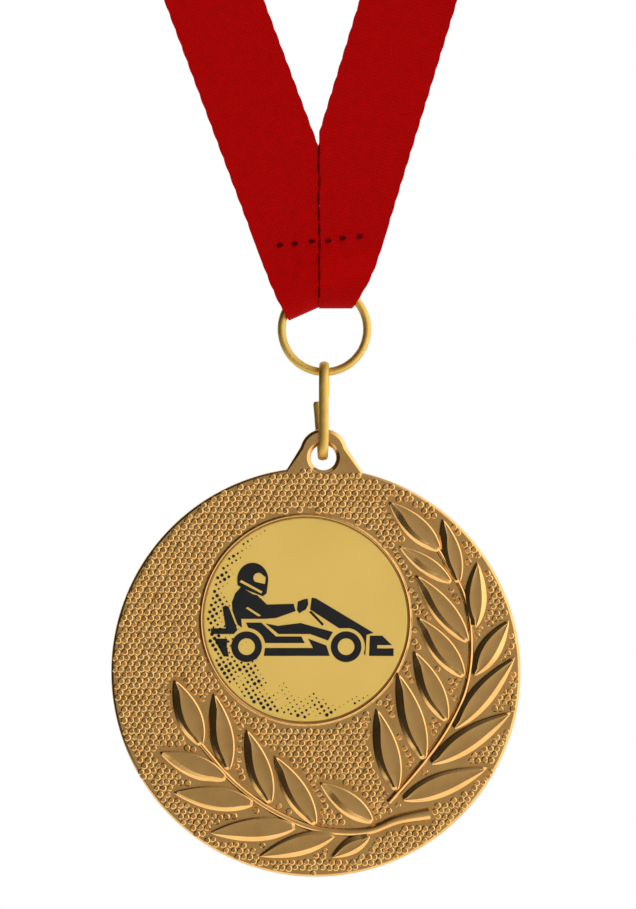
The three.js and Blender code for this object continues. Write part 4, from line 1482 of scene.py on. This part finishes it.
sewn_long = add_node(stitches, "ShaderNodeMath", {
    0: given["Stitch Length"], 1: given["Share Sewn"],
}, operation="MULTIPLY").outputs[0]
stitch_long = add_node(stitches, "ShaderNodeMath", {0: sewn_long, 1: 0.5}, operation="MULTIPLY").outputs[0]
stitch_scale = add_node(stitches, "ShaderNodeCombineXYZ", {
    "X": stitch_long, "Y": given["Thread Size"], "Z": given["Thread Size"],
})
one_stitch = add_node(stitches, "GeometryNodeObjectInfo", {"Object": given["Stitch"]})
sewn = add_node(stitches, "GeometryNodeInstanceOnPoints", {
    "Points": strayed.outputs[0], "Instance": one_stitch.outputs["Geometry"],
    "Rotation": turn_to.outputs[0], "Scale": stitch_scale.outputs[0],
})
real = add_node(stitches, "GeometryNodeRealizeInstances", {"Geometry": sewn.outputs[0]})
rounded = add_node(stitches, "GeometryNodeSetShadeSmooth", {"Geometry": real.outputs[0]})
dressed = add_node(stitches, "GeometryNodeSetMaterial", {
    "Geometry": rounded.outputs[0], "Material": given["Finish"],
})
add_node(stitches, "NodeGroupOutput", {"Geometry": dressed.outputs[0]})


def polyline(name, points):
    """A mesh of edges through points, for a tree to turn into a curve."""
    mesh = bpy.data.meshes.new(name)
    mesh.from_pydata([spot(*p) for p in points], [(i, i + 1) for i in range(len(points) - 1)], [])
    return mesh


# %% The cross seam and the centre seam
SUNK = 0.03
CROSS_Y = -LAYER_Y - half_thick + SUNK
cross_line = polyline("cross_line", [(-4.4, CROSS_Y, 52.2), (5.35, CROSS_Y, 53.1)])
cross_piece = grow("cross_stitches", stitches, {
    "Stitch Length": 1.93 * MM, "Share Sewn": 0.42, "Thread Size": 0.8 * MM, "Wander": 0.1 * MM, "Seed": 4,
    "Stitch": stitch, "Finish": sewing_thread,
}, cross_line)
left_cosine = math.cos(math.radians(FOLD_LEFT["slope"]))
SEAM_LOW = 46.6
SEAM_HIGH = 63.6
SEAM_PARTS = 40
centre_points = []
for i in range(SEAM_PARTS + 1):
    z = SEAM_LOW + (SEAM_HIGH - SEAM_LOW) * i / SEAM_PARTS
    out_y = max(layer_out(z - FOLD_RIGHT["z"]), layer_out((z - FOLD_LEFT["z"]) * left_cosine))
    centre_points.append((SEAM_X, -out_y - half_thick + SUNK, z))
# The centre row is sewn without gaps, so its dark thread also paints the shadow line where the two legs meet.
centre_thread_and_seam_shadow = grow("centre_stitches", stitches, {
    "Stitch Length": 1.9 * MM, "Share Sewn": 1.1, "Thread Size": 0.42 * MM, "Wander": 0.07 * MM, "Seed": 11,
    "Stitch": stitch, "Finish": sewing_thread,
}, polyline("centre_line", centre_points))
bpy.data.objects.remove(stitch)

# %% [markdown]
# ## The adhesive pad
# A white foam pad holds the printed disc. It only shows as a hairline at the recess wall, and
# its CAD shape is right, so it keeps that shape and gets a foam finish.

# %% Foam for the adhesive pad
foam, tree, shader = new_material("white_adhesive_foam")
at = add_node(tree, "ShaderNodeTexCoord").outputs["Object"]
cells = add_node(tree, "ShaderNodeTexVoronoi", {"Scale": 1 / (0.2 * MM), "Vector": at})
foam_ramp = add_node(tree, "ShaderNodeValToRGB", {0: cells.outputs["Distance"]})
set_stops(foam_ramp, [(0.0, linear("#C9C5B6")), (0.6, linear("#E4E1D6"))])
tree.links.new(foam_ramp.outputs[0], shader.inputs["Base Color"])
shader.inputs["Roughness"].default_value = 0.8
pad = bpy.data.objects["emblem_adhesive"]
pad.data.materials.clear()
pad.data.materials.append(foam)

# %% [markdown]
# ## Which body each piece rides on
# The joints belong to the CAD bodies, so each visible piece is tied to the body it moves with, and the CAD
# part it stands for is hidden.

# %% Ride and replace
for piece in (plate_piece, ear_piece, leaves_piece, stems_piece, beads_piece):
    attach(piece, "medal")
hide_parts("medal_casting")
for piece in (emblem_piece, print_piece, halftone_piece):
    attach(piece, "medal")
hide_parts("emblem_disc")
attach(ring_piece, "ring")
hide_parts("jump_ring")
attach(clip_piece, "clip")
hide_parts("wire_clip")
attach(ribbon_piece, "ribbon")
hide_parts("neck_ribbon")
for piece, node in ((cross_piece, "cross_seam"), (centre_thread_and_seam_shadow, "centre_seam")):
    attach(piece, "ribbon")
    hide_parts(node)

# %% [markdown]
# ## Sizes
# The visual model has to stay the size of the CAD model, so both boxes are written down.

# %% Write both boxes and finish
visual_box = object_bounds()
for name, box in (("CAD", cad_box), ("visual", visual_box)):
    print(name, [round(side * 1000, 2) for side in box[1] - box[0]], "mm")
